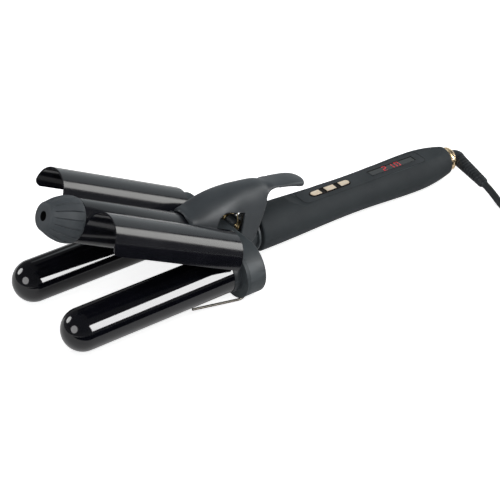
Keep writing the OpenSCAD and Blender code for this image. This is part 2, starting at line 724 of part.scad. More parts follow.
// Radius of the handle at a distance from its front face
function ease(u) = (1 - cos(180 * u)) / 2;
function mix(a, b, t) = a + (b - a) * t;
function handle_r(s) = s < waist_at ? mix(handle_front_d, handle_waist_d, ease(s / waist_at)) / 2
    : s < swell_at ? mix(handle_waist_d, handle_swell_d, ease((s - waist_at) / (swell_at - waist_at))) / 2
    : mix(handle_swell_d, handle_end_d, pow((s - swell_at) / (handle_len - swell_at), 2)) / 2;

module handle_form() difference() {
    rotate([0, 90, 0]) rotate_extrude($fn = 96) polygon(concat([[0, 0]],
        [for (a = [0 : 30 : 60])
            [handle_r(0) - edge_round + edge_round * sin(a), edge_round * (1 - cos(a))]],
        [for (i = [0 : 30]) let (s = edge_round + (handle_len - edge_round) * i / 30) [handle_r(s), s]],
        [[0, handle_len]]));
    slab_y(-big, big) flat_cut(0);
}

// Everything above the flat top, with sloping run-ins
module flat_cut(down) polygon([[panel_start - 14, big], [panel_start - 14, handle_front_d / 2 - down],
    [panel_start - 3, flat_h - down], [handle_len + 1, flat_h - down], [handle_len + 1, big]]);

module handle_cavity() difference() {
    rotate([0, 90, 0]) rotate_extrude($fn = 96) polygon(concat([[0, cavity_front]],
        [for (i = [0 : 24]) let (s = cavity_front + (cavity_back - cavity_front) * i / 24)
            [handle_r(s) - handle_wall, s]],
        [[0, cavity_back]]));
    slab_y(-big, big) flat_cut(handle_wall);
}

// Rounded column over the control panel, inset by a clearance
module panel_column(inset, floor_h) translate([panel_start + inset, -panel_w / 2 + inset, floor_h])
    linear_extrude(big) round_rect(panel_len - 2 * inset, panel_w - 2 * inset, 5);

module round_rect(l, w, r) {
    translate([r, 0]) square([l - 2 * r, w]);
    translate([0, r]) square([l, w - 2 * r]);
    for (x = [r, l - r], y = [r, w - r]) translate([x, y]) circle(r, $fn = 48);
}

key_mid = panel_start + key_start + key_pitch;
bezel_len = 2 * key_pitch + key_len + 2 * bezel_rim;
bezel_w = key_w + 2 * bezel_rim;
window_x = panel_start + window_mid;

module pill(l, w) round_rect(l, w, w / 2 - eps);

module bezel_column(inset, z0, z1) translate([key_mid - bezel_len / 2 + inset, -bezel_w / 2 + inset, z0])
    linear_extrude(z1 - z0) pill(bezel_len - 2 * inset, bezel_w - 2 * inset);

module window_column(inset, z0, z1) translate([window_x - window_len / 2 + inset, -window_w / 2 + inset, z0])
    cube([window_len - 2 * inset, window_w - 2 * inset, z1 - z0]);

module handle_shell_raw() difference() {
    handle_form();
    handle_cavity();
    panel_column(0, panel_floor);
    bezel_column(0, 0, flat_h + 1);
    window_column(0.8, 0, flat_h + 1);
    rod_x(neck_r - 1 + fit, -1, cavity_front + 1);
    rod_x(stem_r + run, cavity_back - 1, handle_len + 1);
}

module handle_top_shell() color("#3d4246") on_handle() difference() {
    union() {
        intersection() {
            handle_shell_raw();
            translate([-1, -big, 0]) cube(2 * big);
        }
        for (s = screw_at) translate([s, 0, board_h + board_t])
            cylinder(r = 2.6, h = roof_h - board_h - board_t + eps);
    }
    for (s = screw_at) translate([s, 0, 0]) cylinder(r = screw_r, h = roof_h);
}

module handle_bottom_shell() color("#3d4246") on_handle() difference() {
    union() {
        intersection() {
            handle_shell_raw();
            translate([-1, -big, -2 * big]) cube(2 * big);
        }
        for (s = screw_at) intersection() {
            translate([s, 0, -big]) cylinder(r = 4.2, h = big + board_h);
            union() {
                handle_form();
            }
        }
    }
    for (s = screw_at) translate([s, 0, 0]) {
        translate([0, 0, -big]) cylinder(r = screw_r + fit, h = big + board_h + 1);
        translate([0, 0, -big]) cylinder(r = 2 * screw_r + fit, h = big - screw_seat);
    }
}

module handle_screws() color("#8e9296") on_handle() for (s = screw_at)
    translate([s, 0, -screw_seat]) rotate([180, 0, 0]) screw(screw_seat + board_h + board_t + 3);

module control_panel() color("#33383b") on_handle() difference() {
    intersection() {
        handle_form();
        panel_column(fit, panel_floor);
    }
    bezel_column(0, 0, flat_h + 1);
    window_column(0, 0, flat_h + 1);
}

module button_bezel() color("#241d1a") on_handle() difference() {
    bezel_column(fit, key_floor, flat_h);
    for (i = [-1 : 1]) key_column(i, -0.3, 0, flat_h + 1);
}

// One button's column; the first and last have a round outer end
module key_column(i, inset, z0, z1) translate([key_mid + i * key_pitch, 0, z0]) linear_extrude(z1 - z0)
    key_outline(i, key_len - 2 * inset, key_w - 2 * inset);

module key_outline(i, l, w) {
    translate([-l / 2 + (i < 0 ? w / 2 : 0), -w / 2]) square([l - (i == 0 ? 0 : w / 2), w]);
    if (i != 0) translate([i * (l / 2 - w / 2), 0]) circle(w / 2, $fn = 48);
}

module key(i) color("#d8b38a") on_handle() {
    key_column(i, 0, key_floor - 1, flat_h + key_proud);
    key_column(i, -0.65, key_floor - 1, key_floor - 0.1);
    translate([key_mid + i * key_pitch, 0, board_h + board_t + switch_h + key_travel + 0.1])
        cylinder(r = 1.5, h = key_floor - board_h - board_t - switch_h - key_travel - 1);
}

module display_window() color("#101214") on_handle() window_column(fit, panel_floor, flat_h);

module display_module() color("#1a1b1d") on_handle() {
    window_column(1, board_h + board_t, panel_floor - 0.1);
}

module circuit_board() color("#2f5d3a") on_handle() difference() {
    translate([board_start, -board_w / 2, board_h]) cube([board_len, board_w, board_t]);
    for (s = screw_at) translate([s, 0, 0]) cylinder(r = screw_r + fit, h = big);
}

module tact_switches() color("#c8c9ca") on_handle() for (i = [-1 : 1])
    translate([key_mid + i * key_pitch, 0, board_h + board_t]) {
        translate([-3, -3, 0]) cube([6, 6, switch_h - 0.6]);
        cylinder(r = 1.6, h = switch_h);
    }

// Silicone sleeve with the heater leads, from the housing to the circuit board
module wire_sleeve() color("#b5473c") on_handle() translate([0, 0, -4])
    rod_x(sleeve_r, -handle_back - 8, board_start);

module tail_ring() color("#d8b38a") on_handle() rotate([0, 90, 0]) rotate_extrude($fn = 96) difference() {
    polygon([[stem_r + run, handle_len], [ring_d / 2, handle_len], [ring_d / 2, handle_len + ring_len - 1.4],
        [ring_d / 2 - 1, handle_len + ring_len], [stem_r + 0.7, handle_len + ring_len],
        [stem_r + run, handle_len + ring_len - 0.8]]);
    translate([ring_d / 2 + 0.7, handle_len + ring_len / 2]) circle(1, $fn = 24);
}

// ---------------------------------------------------------------- cord

// Where the middle of the swivel ball stands
ball_pos = [handle_x + ball_at * cos(handle_tilt), 0, -handle_low - ball_at * sin(handle_tilt)];
relief_ribs = 8;

module strain_relief() color("#1b1c1e") {
    v = cord_route[0] - ball_pos;
    on_handle() {
        rod_x(stem_r, stem_start, handle_len + ring_len + 1);
        rod_x(ball_r - 1, stem_start, ball_at);
        rod_x(stem_r + 1.8, stem_start, cavity_back - free);
        translate([ball_at, 0, 0]) sphere(ball_r);
    }
    translate(ball_pos) rotate([0, acos(v[2] / norm(v)), atan2(v[1], v[0])]) relief_cone(norm(v));
}

module relief_cone(l) rotate_extrude() {
    end_r = cord_d / 2 + 1.3;
    root_r = ball_r - 0.5;
    pitch = 0.62 * l / relief_ribs;
    difference() {
        polygon([[0, 0], [root_r, 0], [end_r, l - 0.6], [end_r - 0.6, l], [0, l]]);
        for (i = [0 : relief_ribs - 1]) let (at = 0.34 * l + i * pitch)
            translate([mix(root_r, end_r, at / l) - 0.8, at]) square([3, pitch / 2]);
    }
}

module cord_lead() color("#1b1c1e") sweep(smooth_line(cord_route, 3), cord_d / 2, 12);

module cord_coil() color("#1b1c1e") translate(coil_at) rotate_extrude($fn = 96)
    translate([coil_r - cord_d / 2, 0]) square([coil_wide * cord_d, coil_high * cord_d]);

module cord_tail() color("#1b1c1e") sweep(smooth_line(tail_route, 3), cord_d / 2, 12);

plug_at = tail_route[len(tail_route) - 1] - [0, 0.02, 0];

module plug_body() color("#1b1c1e") translate(plug_at) rotate([0, 0, 180]) {
    relief = 12;
    rotate([-90, 0, 0]) cylinder(r1 = cord_d / 2 + 0.8, r2 = plug_t / 2 - 1.6, h = relief + 1);
    hull() for (x = [-1, 1], y = [relief, plug_len - 2])
        translate([x * (y == relief ? plug_w / 2 - plug_t / 2 - 2 : plug_w / 2 - plug_t / 2), y, 0])
            rotate([-90, 0, 0]) cylinder(r = plug_t / 2, h = 2, $fn = 32);
}

module plug_pins() color("#c6c7c9") for (x = [-1, 1])
    translate(plug_at + [x * prong_pitch / 2, -plug_len, 0]) rotate([90, 0, 0]) {
        cylinder(r = prong_d / 2, h = prong_len - prong_d / 2);
        translate([0, 0, prong_len - prong_d / 2]) sphere(prong_d / 2);
    }

// ---------------------------------------------------------------- nodes

seated() outer_barrel(1);  // outer_barrel_left
seated() outer_barrel(-1);  // outer_barrel_right
seated() barrel_collar(1);  // barrel_collar_left
seated() barrel_collar(-1);  // barrel_collar_right
seated() outer_heater(1);  // heater_left
seated() outer_heater(-1);  // heater_right
seated() centre_heater();  // heater_centre
seated() barrel_fuses();
seated() jaw_fuse();
seated() yoke_housing();
seated() yoke_front_plate();
seated() yoke_screws();
seated() hinge_pin();
seated() torsion_spring();
seated() stand_wire();
seated() centre_barrel();
seated() cool_tip();
seated() wing(1);  // wing_left
seated() wing(-1);  // wing_right
seated() jaw_saddle();
seated() jaw_bracket();
seated() lever_shell();
seated() lever_screw();
seated() handle_top_shell();
seated() handle_bottom_shell();
seated() handle_screws();
seated() control_panel();
seated() button_bezel();
seated() key(-1);  // minus_button
seated() key(0);  // plus_button
seated() key(1);  // power_button
seated() display_window();
seated() display_module();
seated() circuit_board();
seated() tact_switches();
seated() wire_sleeve();
seated() tail_ring();
seated() strain_relief();
seated() cord_lead();
seated() cord_coil();
seated() cord_tail();
seated() plug_body();
seated() plug_pins();
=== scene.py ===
"""A three-barrel hair waver with its jaw open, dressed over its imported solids."""

import json
import math

import bmesh
import bpy
from mathutils import Matrix, Vector

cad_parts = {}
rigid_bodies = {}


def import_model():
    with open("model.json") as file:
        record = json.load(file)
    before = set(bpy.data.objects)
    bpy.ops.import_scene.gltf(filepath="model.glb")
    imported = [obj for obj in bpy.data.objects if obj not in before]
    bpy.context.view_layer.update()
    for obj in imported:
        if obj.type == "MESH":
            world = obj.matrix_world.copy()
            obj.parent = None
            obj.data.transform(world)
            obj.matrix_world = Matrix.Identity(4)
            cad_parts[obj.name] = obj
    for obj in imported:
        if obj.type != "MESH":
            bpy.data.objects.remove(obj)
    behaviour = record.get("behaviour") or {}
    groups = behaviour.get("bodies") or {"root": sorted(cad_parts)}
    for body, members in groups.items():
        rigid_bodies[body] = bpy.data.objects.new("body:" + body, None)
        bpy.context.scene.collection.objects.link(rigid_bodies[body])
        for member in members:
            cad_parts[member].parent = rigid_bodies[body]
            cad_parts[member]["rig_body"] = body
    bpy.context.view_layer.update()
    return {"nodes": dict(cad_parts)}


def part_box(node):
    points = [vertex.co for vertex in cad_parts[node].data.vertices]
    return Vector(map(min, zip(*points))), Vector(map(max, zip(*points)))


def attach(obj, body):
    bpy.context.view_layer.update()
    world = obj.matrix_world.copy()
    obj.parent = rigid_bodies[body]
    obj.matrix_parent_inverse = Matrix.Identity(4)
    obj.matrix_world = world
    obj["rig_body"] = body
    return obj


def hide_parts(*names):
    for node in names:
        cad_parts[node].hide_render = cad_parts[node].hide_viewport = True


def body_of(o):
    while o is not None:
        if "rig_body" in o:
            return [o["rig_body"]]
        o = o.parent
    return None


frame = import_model()

MM = 0.001

# ------------------------------------------------------------------ places
# Lengths are in millimetres, from the tips of the outer barrels. A place is a matrix that turns them into the
# shared frame, which is in metres.


def beside(place, x=0.0, y=0.0, z=0.0):
    """The place moved along its own axes."""
    return place @ Matrix.Translation(Vector((x, y, z)) * MM)


def point(place, x, y, z):
    return place @ (Vector((x, y, z)) * MM)


body_len = 386.897
rest_height = 23.977
yoke_x = 141.0
pin_x, pin_up, open_angle = 169.5, 10.0, math.radians(28.1)
handle_x, handle_low, handle_tilt = 186.0, 2.35, math.radians(1.83)
seated = Matrix.Translation(Vector((-body_len / 2, 0, rest_height)) * MM)
on_jaw = beside(seated, pin_x, 0, pin_up) @ Matrix.Rotation(open_angle, 4, "Y")
on_handle = beside(seated, handle_x, 0, -handle_low) @ Matrix.Rotation(handle_tilt, 4, "Y")

# ------------------------------------------------------------------ camera
render_width, focal_pixels, sensor_width = 500, 1552, 36
view_turn, view_rise, view_distance = math.radians(-35.2), math.radians(34.87), 1.2
looked_at = point(seated, 184.1, 0, -20.4)
camera_back = Vector((math.sin(view_turn) * math.cos(view_rise), -math.cos(view_turn) * math.cos(view_rise),
                      math.sin(view_rise)))
camera_data = bpy.data.cameras.new("camera")
camera_data.sensor_width = sensor_width
camera_data.lens = sensor_width * focal_pixels / render_width
camera_data.clip_start, camera_data.clip_end = 0.05, 20
camera = bpy.data.objects.new("camera", camera_data)
camera.location = looked_at + camera_back * view_distance
camera.rotation_mode = "QUATERNION"
camera.rotation_quaternion = (-camera_back).to_track_quat("-Z", "Y")
bpy.context.collection.objects.link(camera)
bpy.context.scene.camera = camera
bpy.context.scene.view_settings.view_transform = "Standard"

# ------------------------------------------------------------------ finishes


def linear(hex_colour):
    """A written colour such as 4a5054 as linear red, green, blue and alpha."""
    parts = [int(hex_colour[i : i + 2], 16) / 255 for i in (0, 2, 4)]
    return [p / 12.92 if p <= 0.04045 else ((p + 0.055) / 1.055) ** 2.4 for p in parts] + [1.0]


class Finish:
    """A material whose patterns follow the object's own coordinates."""

    def __init__(self, name, metallic=0.0, specular=0.5):
        self.material = bpy.data.materials.new(name)
        self.material.use_nodes = True
        self.nodes = self.material.node_tree.nodes
        self.links = self.material.node_tree.links
        self.shader = self.nodes["Principled BSDF"]
        self.shader.inputs["Metallic"].default_value = metallic
        self.shader.inputs["Specular IOR Level"].default_value = specular
        self.place = self.nodes.new("ShaderNodeTexCoord").outputs["Object"]
        self.normal = None

    def pattern(self, size, stretch=(1, 1, 1), detail=3.0):
        """Noise whose features are size millimetres across, before the stretch."""
        mapping = self.nodes.new("ShaderNodeMapping")
        mapping.inputs["Scale"].default_value = [1000 / size / s for s in stretch]
        self.links.new(self.place, mapping.inputs["Vector"])
        noise = self.nodes.new("ShaderNodeTexNoise")
        noise.inputs["Scale"].default_value = 1.0
        noise.inputs["Detail"].default_value = detail
        self.links.new(mapping.outputs["Vector"], noise.inputs["Vector"])
        return noise.outputs["Fac"]

    def ramp(self, value, stops):
        ramp = self.nodes.new("ShaderNodeValToRGB")
        self.links.new(value, ramp.inputs["Fac"])
        for element, (at, colour) in zip(ramp.color_ramp.elements, stops):
            element.position, element.color = at, linear(colour)
        return ramp.outputs["Color"]

    def between(self, value, low, high, start=0.3, end=0.7):
        """Runs from low to high as the value goes from start to end."""
        spread = self.nodes.new("ShaderNodeMapRange")
        for name, number in (("From Min", start), ("From Max", end), ("To Min", low), ("To Max", high)):
            spread.inputs[name].default_value = number
        self.links.new(value, spread.inputs["Value"])
        return spread.outputs["Result"]

    def colour(self, value, dark, light):
        self.links.new(self.ramp(value, ((0.34, dark), (0.66, light))), self.shader.inputs["Base Color"])
        return self

    def roughness(self, value, low, high):
        self.links.new(self.between(value, low, high), self.shader.inputs["Roughness"])
        return self

    def relief(self, value, depth, strength):
        """Raises the surface by depth millimetres where the value is high."""
        bump = self.nodes.new("ShaderNodeBump")
        bump.inputs["Distance"].default_value = depth * MM
        bump.inputs["Strength"].default_value = strength
        self.links.new(value, bump.inputs["Height"])
        if self.normal is not None:
            self.links.new(self.normal, bump.inputs["Normal"])
        self.normal = bump.outputs["Normal"]
        self.links.new(self.normal, self.shader.inputs["Normal"])
        return self

    def worn_edges(self, light):
        """Rubbed edges, a little paler than the rest."""
        pointiness = self.nodes.new("ShaderNodeNewGeometry").outputs["Pointiness"]
        mix = self.nodes.new("ShaderNodeMix")
        mix.data_type = "RGBA"
        unworn = self.shader.inputs["Base Color"].links[0].from_socket
        self.links.new(self.between(pointiness, 0.0, 0.5, start=0.53, end=0.62), mix.inputs["Factor"])
        self.links.new(unworn, mix.inputs["A"])
        mix.inputs["B"].default_value = linear(light)
        self.links.new(mix.outputs["Result"], self.shader.inputs["Base Color"])
        return self


def soft_touch(name, dark, light, low, high, specular=0.14):
    """Rubbery paint with a fine tooth over a slight orange peel."""
    f = Finish(name, specular=specular)
    f.colour(f.pattern(26, detail=4), dark, light).worn_edges("5d6468")
    f.roughness(f.pattern(9, detail=5), low, high)
    f.relief(f.pattern(0.35, detail=2), 0.012, 0.5)
    return f.relief(f.pattern(3.5, detail=2), 0.02, 0.3).material


def glazed_black(name, low, high, dark, light, specular):
    """Black barrel glaze with faint polishing rings and the haze that hair leaves."""
    f = Finish(name, specular=specular)
    f.colour(f.pattern(14, detail=4), dark, light)
    f.roughness(f.pattern(18, (2.5, 1, 1), detail=6), low, high)
    return f.relief(f.pattern(0.5, (0.5, 30, 30), detail=2), 0.0008, 0.15).material


def moulded(name, dark, light, low=0.4, high=0.5, grain=0.5, depth=0.012):
    """Spark-eroded plastic or rubber, whose grain is grain millimetres across."""
    f = Finish(name, specular=0.18)
    f.colour(f.pattern(12, detail=4), dark, light).worn_edges("50565a")
    f.roughness(f.pattern(7, detail=4), low, high)
    return f.relief(f.pattern(grain, detail=2), depth, 0.55).material


def metal(name, dark, light, low, high, lines, size, metallic=1.0):
    """Metal with drawing lines along the longest of the lines' sides."""
    f = Finish(name, metallic=metallic)
    f.colour(f.pattern(size * 3, lines, detail=4), dark, light)
    f.roughness(f.pattern(size * 2, lines, detail=4), low, high)
    return f.relief(f.pattern(size * 0.25, lines, detail=2), 0.004, 0.4).material


even, crosswise = (1, 1, 1), (12, 1, 1)
housing_grey = soft_touch("soft_touch_grey", "3f4548", "454b4e", 0.46, 0.56, 0.26)
lever_grey = soft_touch("soft_touch_lever", "3e4347", "454a4e", 0.42, 0.5, 0.3)
handle_grey = soft_touch("soft_touch_handle", "373c3f", "3d4245", 0.64, 0.74)
panel_grey = soft_touch("panel_grey", "393d40", "3f4346", 0.52, 0.62)
plate_grey = soft_touch("front_plate_grey", "3d4346", "43494c", 0.5, 0.6, 0.2)
barrel_black = glazed_black("barrel_glaze", 0.05, 0.1, "0a0b10", "0f1016", 0.5)
jaw_black = glazed_black("jaw_barrel_glaze", 0.14, 0.2, "121318", "17181d", 0.4)
wing_black = glazed_black("wing_glaze", 0.12, 0.18, "13141a", "18191f", 0.45)
bezel_black = glazed_black("bezel_gloss", 0.3, 0.4, "120c09", "1b120d", 0.08)
window_black = glazed_black("window_lens", 0.05, 0.12, "07090a", "0c0f10", 0.5)
collar_black = moulded("collar_plastic", "2e3134", "373b3e", 0.35, 0.45)
tip_grey = moulded("cool_tip_plastic", "474c50", "4e5357", 0.5, 0.6, 0.6, 0.02)
# Painted shade: near-black for the inside of the cool tip's hole and for the line round the display window.
painted_shade_black = moulded("painted_hole_and_edge_shade", "060607", "0b0b0c", 0.6, 0.7)
saddle_grey = moulded("saddle_plastic", "2a2d30", "34383b", 0.45, 0.55)
cord_black = moulded("cord_sheath", "212325", "2c2f31", 0.45, 0.6, 0.8, 0.03)
plug_black = moulded("plug_rubber", "191a1c", "232527", 0.5, 0.62, 0.7, 0.02)
relief_black = moulded("relief_rubber", "2b2e30", "383b3e", 0.42, 0.55, 0.7, 0.02)
tie_black = moulded("tie_strap", "151617", "202224", 0.6, 0.75, 0.4, 0.05)
# Painted shade: near-black for a thin strip laid round the control panel, where shadow falls in its gap.
gap_shade_black = moulded("panel_gap_shade", "101213", "17191a", 0.6, 0.7)
module_black = moulded("display_module", "101113", "1a1b1d")
board_green = moulded("board_mask", "1d4a2c", "2c6b3f", 0.3, 0.45, 0.9, 0.04)
sleeve_red = moulded("silicone_sleeve", "9c3023", "bb4636", 0.4, 0.55, 0.5, 0.02)
fuse_white = moulded("fuse_case", "c9c2b0", "ddd7c7", 0.4, 0.55, 0.4, 0.01)
pale_gold = metal("pale_gold", "fbe3c4", "fff1da", 0.3, 0.42, even, 0.8, 0.1)
bright_gold = metal("ring_gold", "e0c49c", "f4dcb6", 0.16, 0.26, (6, 1, 1), 1.6)
spring_gold = metal("spring_gold", "b39c72", "d6c297", 0.25, 0.38, even, 0.8)
wire_steel = metal("stand_steel", "4f4c47", "625e57", 0.3, 0.42, even, 0.5)
screw_steel = metal("screw_steel", "85898c", "a3a7aa", 0.25, 0.4, even, 0.9)
sheet_steel = metal("bracket_steel", "6d7174", "8b8f92", 0.3, 0.45, crosswise, 1.5)
pin_nickel = metal("plug_nickel", "b5b6b7", "d3d4d5", 0.12, 0.24, (1, 14, 1), 0.9)
heater_alloy = metal("heater_alloy", "8c8f92", "b3b6b8", 0.3, 0.5, (14, 1, 1), 1.5)
switch_metal = metal("switch_metal", "8a8c8e", "bcbec0", 0.25, 0.4, even, 0.9)


def lit_digits():
    f = Finish("lit_digits")
    f.colour(f.pattern(0.7, detail=2), "c01525", "f02a3c").roughness(f.pattern(1.0), 0.3, 0.5)
    f.shader.inputs["Emission Strength"].default_value = 0.22
    glow = f.ramp(f.pattern(0.5, detail=2), ((0.3, "c81428"), (0.7, "ff3048")))
    f.links.new(glow, f.shader.inputs["Emission Color"])
    return f.material


digit_red = lit_digits()

# ------------------------------------------------------------------ making pieces


def shown(name, mesh, material, body, stands_for=()):
    """Puts a mesh in the scene as a piece that rides on a body."""
    piece = bpy.data.objects.new(name, mesh)
    bpy.context.collection.objects.link(piece)
    piece.data.materials.clear()
    piece.data.materials.append(material)
    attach(piece, body)
    if stands_for:
        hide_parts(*stands_for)
    return piece


def facing_out(bm):
    bmesh.ops.recalc_face_normals(bm, faces=bm.faces)
    return bm


def smooth_mesh(bm, name, place=None, angle=32):
    """The mesh of bm, shaded smooth except over edges sharper than the angle."""
    if place is not None:
        bmesh.ops.transform(bm, matrix=place @ Matrix.Scale(MM, 4), verts=bm.verts)
    for face in bm.faces:
        face.smooth = True
    mesh = bpy.data.meshes.new(name)
    bm.to_mesh(mesh)
    bm.free()
    mesh.set_sharp_from_angle(angle=math.radians(angle))
    return mesh


def bevelled(bm, width, angle=35):
    """Rounds every edge of bm that is sharper than the angle."""
    sharp = [e for e in bm.edges if e.is_manifold and e.calc_face_angle(0) > math.radians(angle)]
    bmesh.ops.bevel(bm, geom=sharp, offset=width, offset_type="OFFSET", segments=2, profile=0.5,
                    affect="EDGES", clamp_overlap=True, material=-1)


def merged(node):
    """The solid of a node as a bmesh in metres, its loose triangles joined."""
    bm = bmesh.new()
    bm.from_mesh(frame["nodes"][node].data)
    bmesh.ops.remove_doubles(bm, verts=bm.verts, dist=0.004 * MM)
    return bm


def finished(node, material, width):
    """A copy of a solid with its edges broken, in place of the solid."""
    bm = merged(node)
    bmesh.ops.dissolve_limit(bm, angle_limit=math.radians(0.4), verts=bm.verts, edges=bm.edges)
    bevelled(bm, width * MM)
    name = node + "_finished"
    piece = shown(name, smooth_mesh(bm, name), material, body_of(frame["nodes"][node])[0], [node])
    shading = piece.modifiers.new("even_shading", "WEIGHTED_NORMAL")
    shading.mode, shading.keep_sharp = "FACE_AREA", True


def coat(node, material):
    """A solid whose shape is right keeps it and takes a finish."""
    data = frame["nodes"][node].data
    data.materials.clear()
    data.materials.append(material)


def turned(profile, steps, rounds=()):
    """A bmesh turned about X from (x, radius) points. rounds holds (point, rounding) pairs."""
    bm = bmesh.new()
    rim = [bm.verts.new((x, 0, r)) for x, r in profile]
    for a, b in zip(rim, rim[1:]):
        bm.edges.new((a, b))
    for index, size in rounds:
        bmesh.ops.bevel(bm, geom=[rim[index]], offset=size, offset_type="OFFSET",
                        segments=max(3, round(size)), profile=0.5, affect="VERTICES", material=-1)
    bmesh.ops.spin(bm, geom=bm.verts[:] + bm.edges[:], cent=(0, 0, 0), axis=(1, 0, 0), dvec=(0, 0, 0),
                   angle=math.tau, steps=steps, use_merge=True, use_duplicate=False)
    bmesh.ops.remove_doubles(bm, verts=bm.verts, dist=0.001)
    return facing_out(bm)


def turned_tube(profile, steps, rounds):
    """A turned band whose first and last rims are joined, so that it is a closed tube."""
    bm = turned(profile, steps, rounds)
    bmesh.ops.bridge_loops(bm, edges=[e for e in bm.edges if e.is_boundary])
    return facing_out(bm)


def wire(name, points, radius, material, body, stands_for=(), sides=4, closed=False):
    """A round wire through points in the shared frame."""
    data = bpy.data.curves.new(name, "CURVE")
    data.dimensions = "3D"
    data.bevel_depth = radius * MM
    data.bevel_resolution = sides
    data.use_fill_caps = True
    line = data.splines.new("POLY")
    line.points.add(len(points) - 1)
    for place, p in zip(line.points, points):
        place.co = (*p, 1)
    line.use_cyclic_u = closed
    line.use_smooth = True
    piece = bpy.data.objects.new(name, data)
    bpy.context.collection.objects.link(piece)
    data.materials.append(material)
    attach(piece, body)
    if stands_for:
        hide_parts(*stands_for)
    return piece


def curve_at(a, b, c, d, t):
    """A point on the smooth curve through b and c, whose neighbours are a and d."""
    bend = 2 * a - 5 * b + 4 * c - d
    twist = 3 * b - a - 3 * c + d
    return 0.5 * (2 * b + (c - a) * t + bend * t * t + twist * t * t * t)


def smooth_line(points, steps):
    """A smooth line through points, with steps to each span."""
    last = len(points) - 1
    line = [curve_at(points[max(i - 1, 0)], points[i], points[i + 1], points[min(i + 2, last)], k / steps)
            for i in range(last) for k in range(steps)]
    return line + [points[last]]


def arc(x, r, radius, start, end, steps):
    """Profile points round (x, r), from start to end degrees."""
    turns = [math.radians(start + (end - start) * k / steps) for k in range(steps + 1)]
    return [(x + radius * math.cos(a), r + radius * math.sin(a)) for a in turns]


def squared(wave, power):
    """A sine or cosine that fills out towards a square as the power falls from 1."""
    return math.copysign(abs(wave) ** power, wave)


def circle(sides):
    """The corners of a unit circle in X and Y."""
    turns = [math.tau * k / sides for k in range(sides)]
    return [Vector((-math.sin(a), math.cos(a), 0)) for a in turns]


def only(kind, geometry):
    return [g for g in geometry if isinstance(g, kind)]


def skin(rings):
    """A closed skin through rings of points, each extruded from the one before."""
    bm = bmesh.new()
    ring = bmesh.ops.create_circle(bm, cap_ends=False, segments=len(rings[0]), radius=1.0)["verts"]
    edges = list({e for v in ring for e in v.link_edges})
    first = ring
    for i, places in enumerate(rings):
        if i:
            grown = bmesh.ops.extrude_edge_only(bm, edges=edges)["geom"]
            ring, edges = only(bmesh.types.BMVert, grown), only(bmesh.types.BMEdge, grown)
        for v, place in zip(ring, places):
            v.co = place
    bmesh.ops.contextual_create(bm, geom=first)
    bmesh.ops.contextual_create(bm, geom=ring)
    return facing_out(bm)


def swept(points, radii, sides):
    """A round skin along points, with a radius at each."""
    rings = []
    for i, (at, radius) in enumerate(zip(points, radii)):
        along = (points[min(i + 1, len(points) - 1)] - points[max(i - 1, 0)]).normalized()
        across = Vector((0, 0, 1)).cross(along).normalized()
        turn = Matrix((across, along.cross(across), along)).transposed()
        rings.append([at + turn @ (corner * radius) for corner in circle(sides)])
    return skin(rings)


# ------------------------------------------------------------------ barrels

barrel_pitch = 35.5
barrel_r, barrel_bore, barrel_wall = 16.0, 14.4, 1.6
barrel_end = 149.8
collar_x, flange_end = 134.5, 139.0
collar_r, spigot_r, collar_bore = 16.5, 16.2, 16.02
seat_r = barrel_r - 0.2
barrel_steps = 128

for side, name in ((1, "left"), (-1, "right")):
    barrel_place = beside(seated, 0, side * barrel_pitch)
    dome_out = arc(barrel_r, 0, barrel_r, 176, 90, 20)
    dome_in = arc(barrel_r, 0, barrel_bore, 100, 170, 8)
    seat = [(collar_x - 0.3, barrel_r), (collar_x - 0.1, seat_r), (barrel_end, seat_r)]
    bore = [(barrel_end, barrel_bore), (barrel_r, barrel_bore)]
    tube = turned([(0, 0), *dome_out, *seat, *bore, *dome_in, (barrel_wall, 0)], barrel_steps)
    shown("outer_barrel_%s_glazed" % name, smooth_mesh(tube, "outer_barrel_" + name, barrel_place),
          barrel_black, "body", ["outer_barrel_" + name])
    collar = turned_tube([(collar_x, collar_bore), (collar_x, collar_r), (flange_end, collar_r),
                          (flange_end, spigot_r), (yoke_x, spigot_r), (yoke_x, collar_bore)],
                         barrel_steps, [(1, 0.35), (2, 0.3), (3, 0.2)])
    shown("barrel_collar_%s_fitted" % name, smooth_mesh(collar, "barrel_collar_" + name, barrel_place),
          collar_black, "body", ["barrel_collar_" + name])

jaw_rear = -30.5
jaw_drop = 15.2
tip_root = jaw_rear - 116.3
tip_face = tip_root - 25.2
centre_end = jaw_rear - 2
centre_axis = beside(on_jaw, 0, 0, -jaw_drop)

centre = turned_tube([(tip_root, barrel_bore), (tip_root, barrel_r), (centre_end, barrel_r),
                      (centre_end, barrel_bore)], barrel_steps, [(1, 0.3), (2, 0.3)])
shown("centre_barrel_glazed", smooth_mesh(centre, "centre_barrel", centre_axis), jaw_black, "jaw",
      ["centre_barrel"])

# ------------------------------------------------------------------ cool tip

flutes, steps_to_flute = 16, 12
hole_r, hole_depth = 3.5, 9.0
face_r, nose_r, nose_len = 9.7, 11.0, 2.5
swell, swell_len, swell_steps = 6.0, 17.2, 20
root_curve = ((4.2, 17.05), (2.8, 16.95), (1.6, 16.7), (0.7, 16.35), (0.15, 15.9), (0, 15.3))
spigot_len = 8.0
flat_depth, groove_depth, groove_width = 0.3, 0.85, 0.09
flutes_from, flutes_to, fade_in, fade_out = 1.2, 24.9, 2.5, 3.0


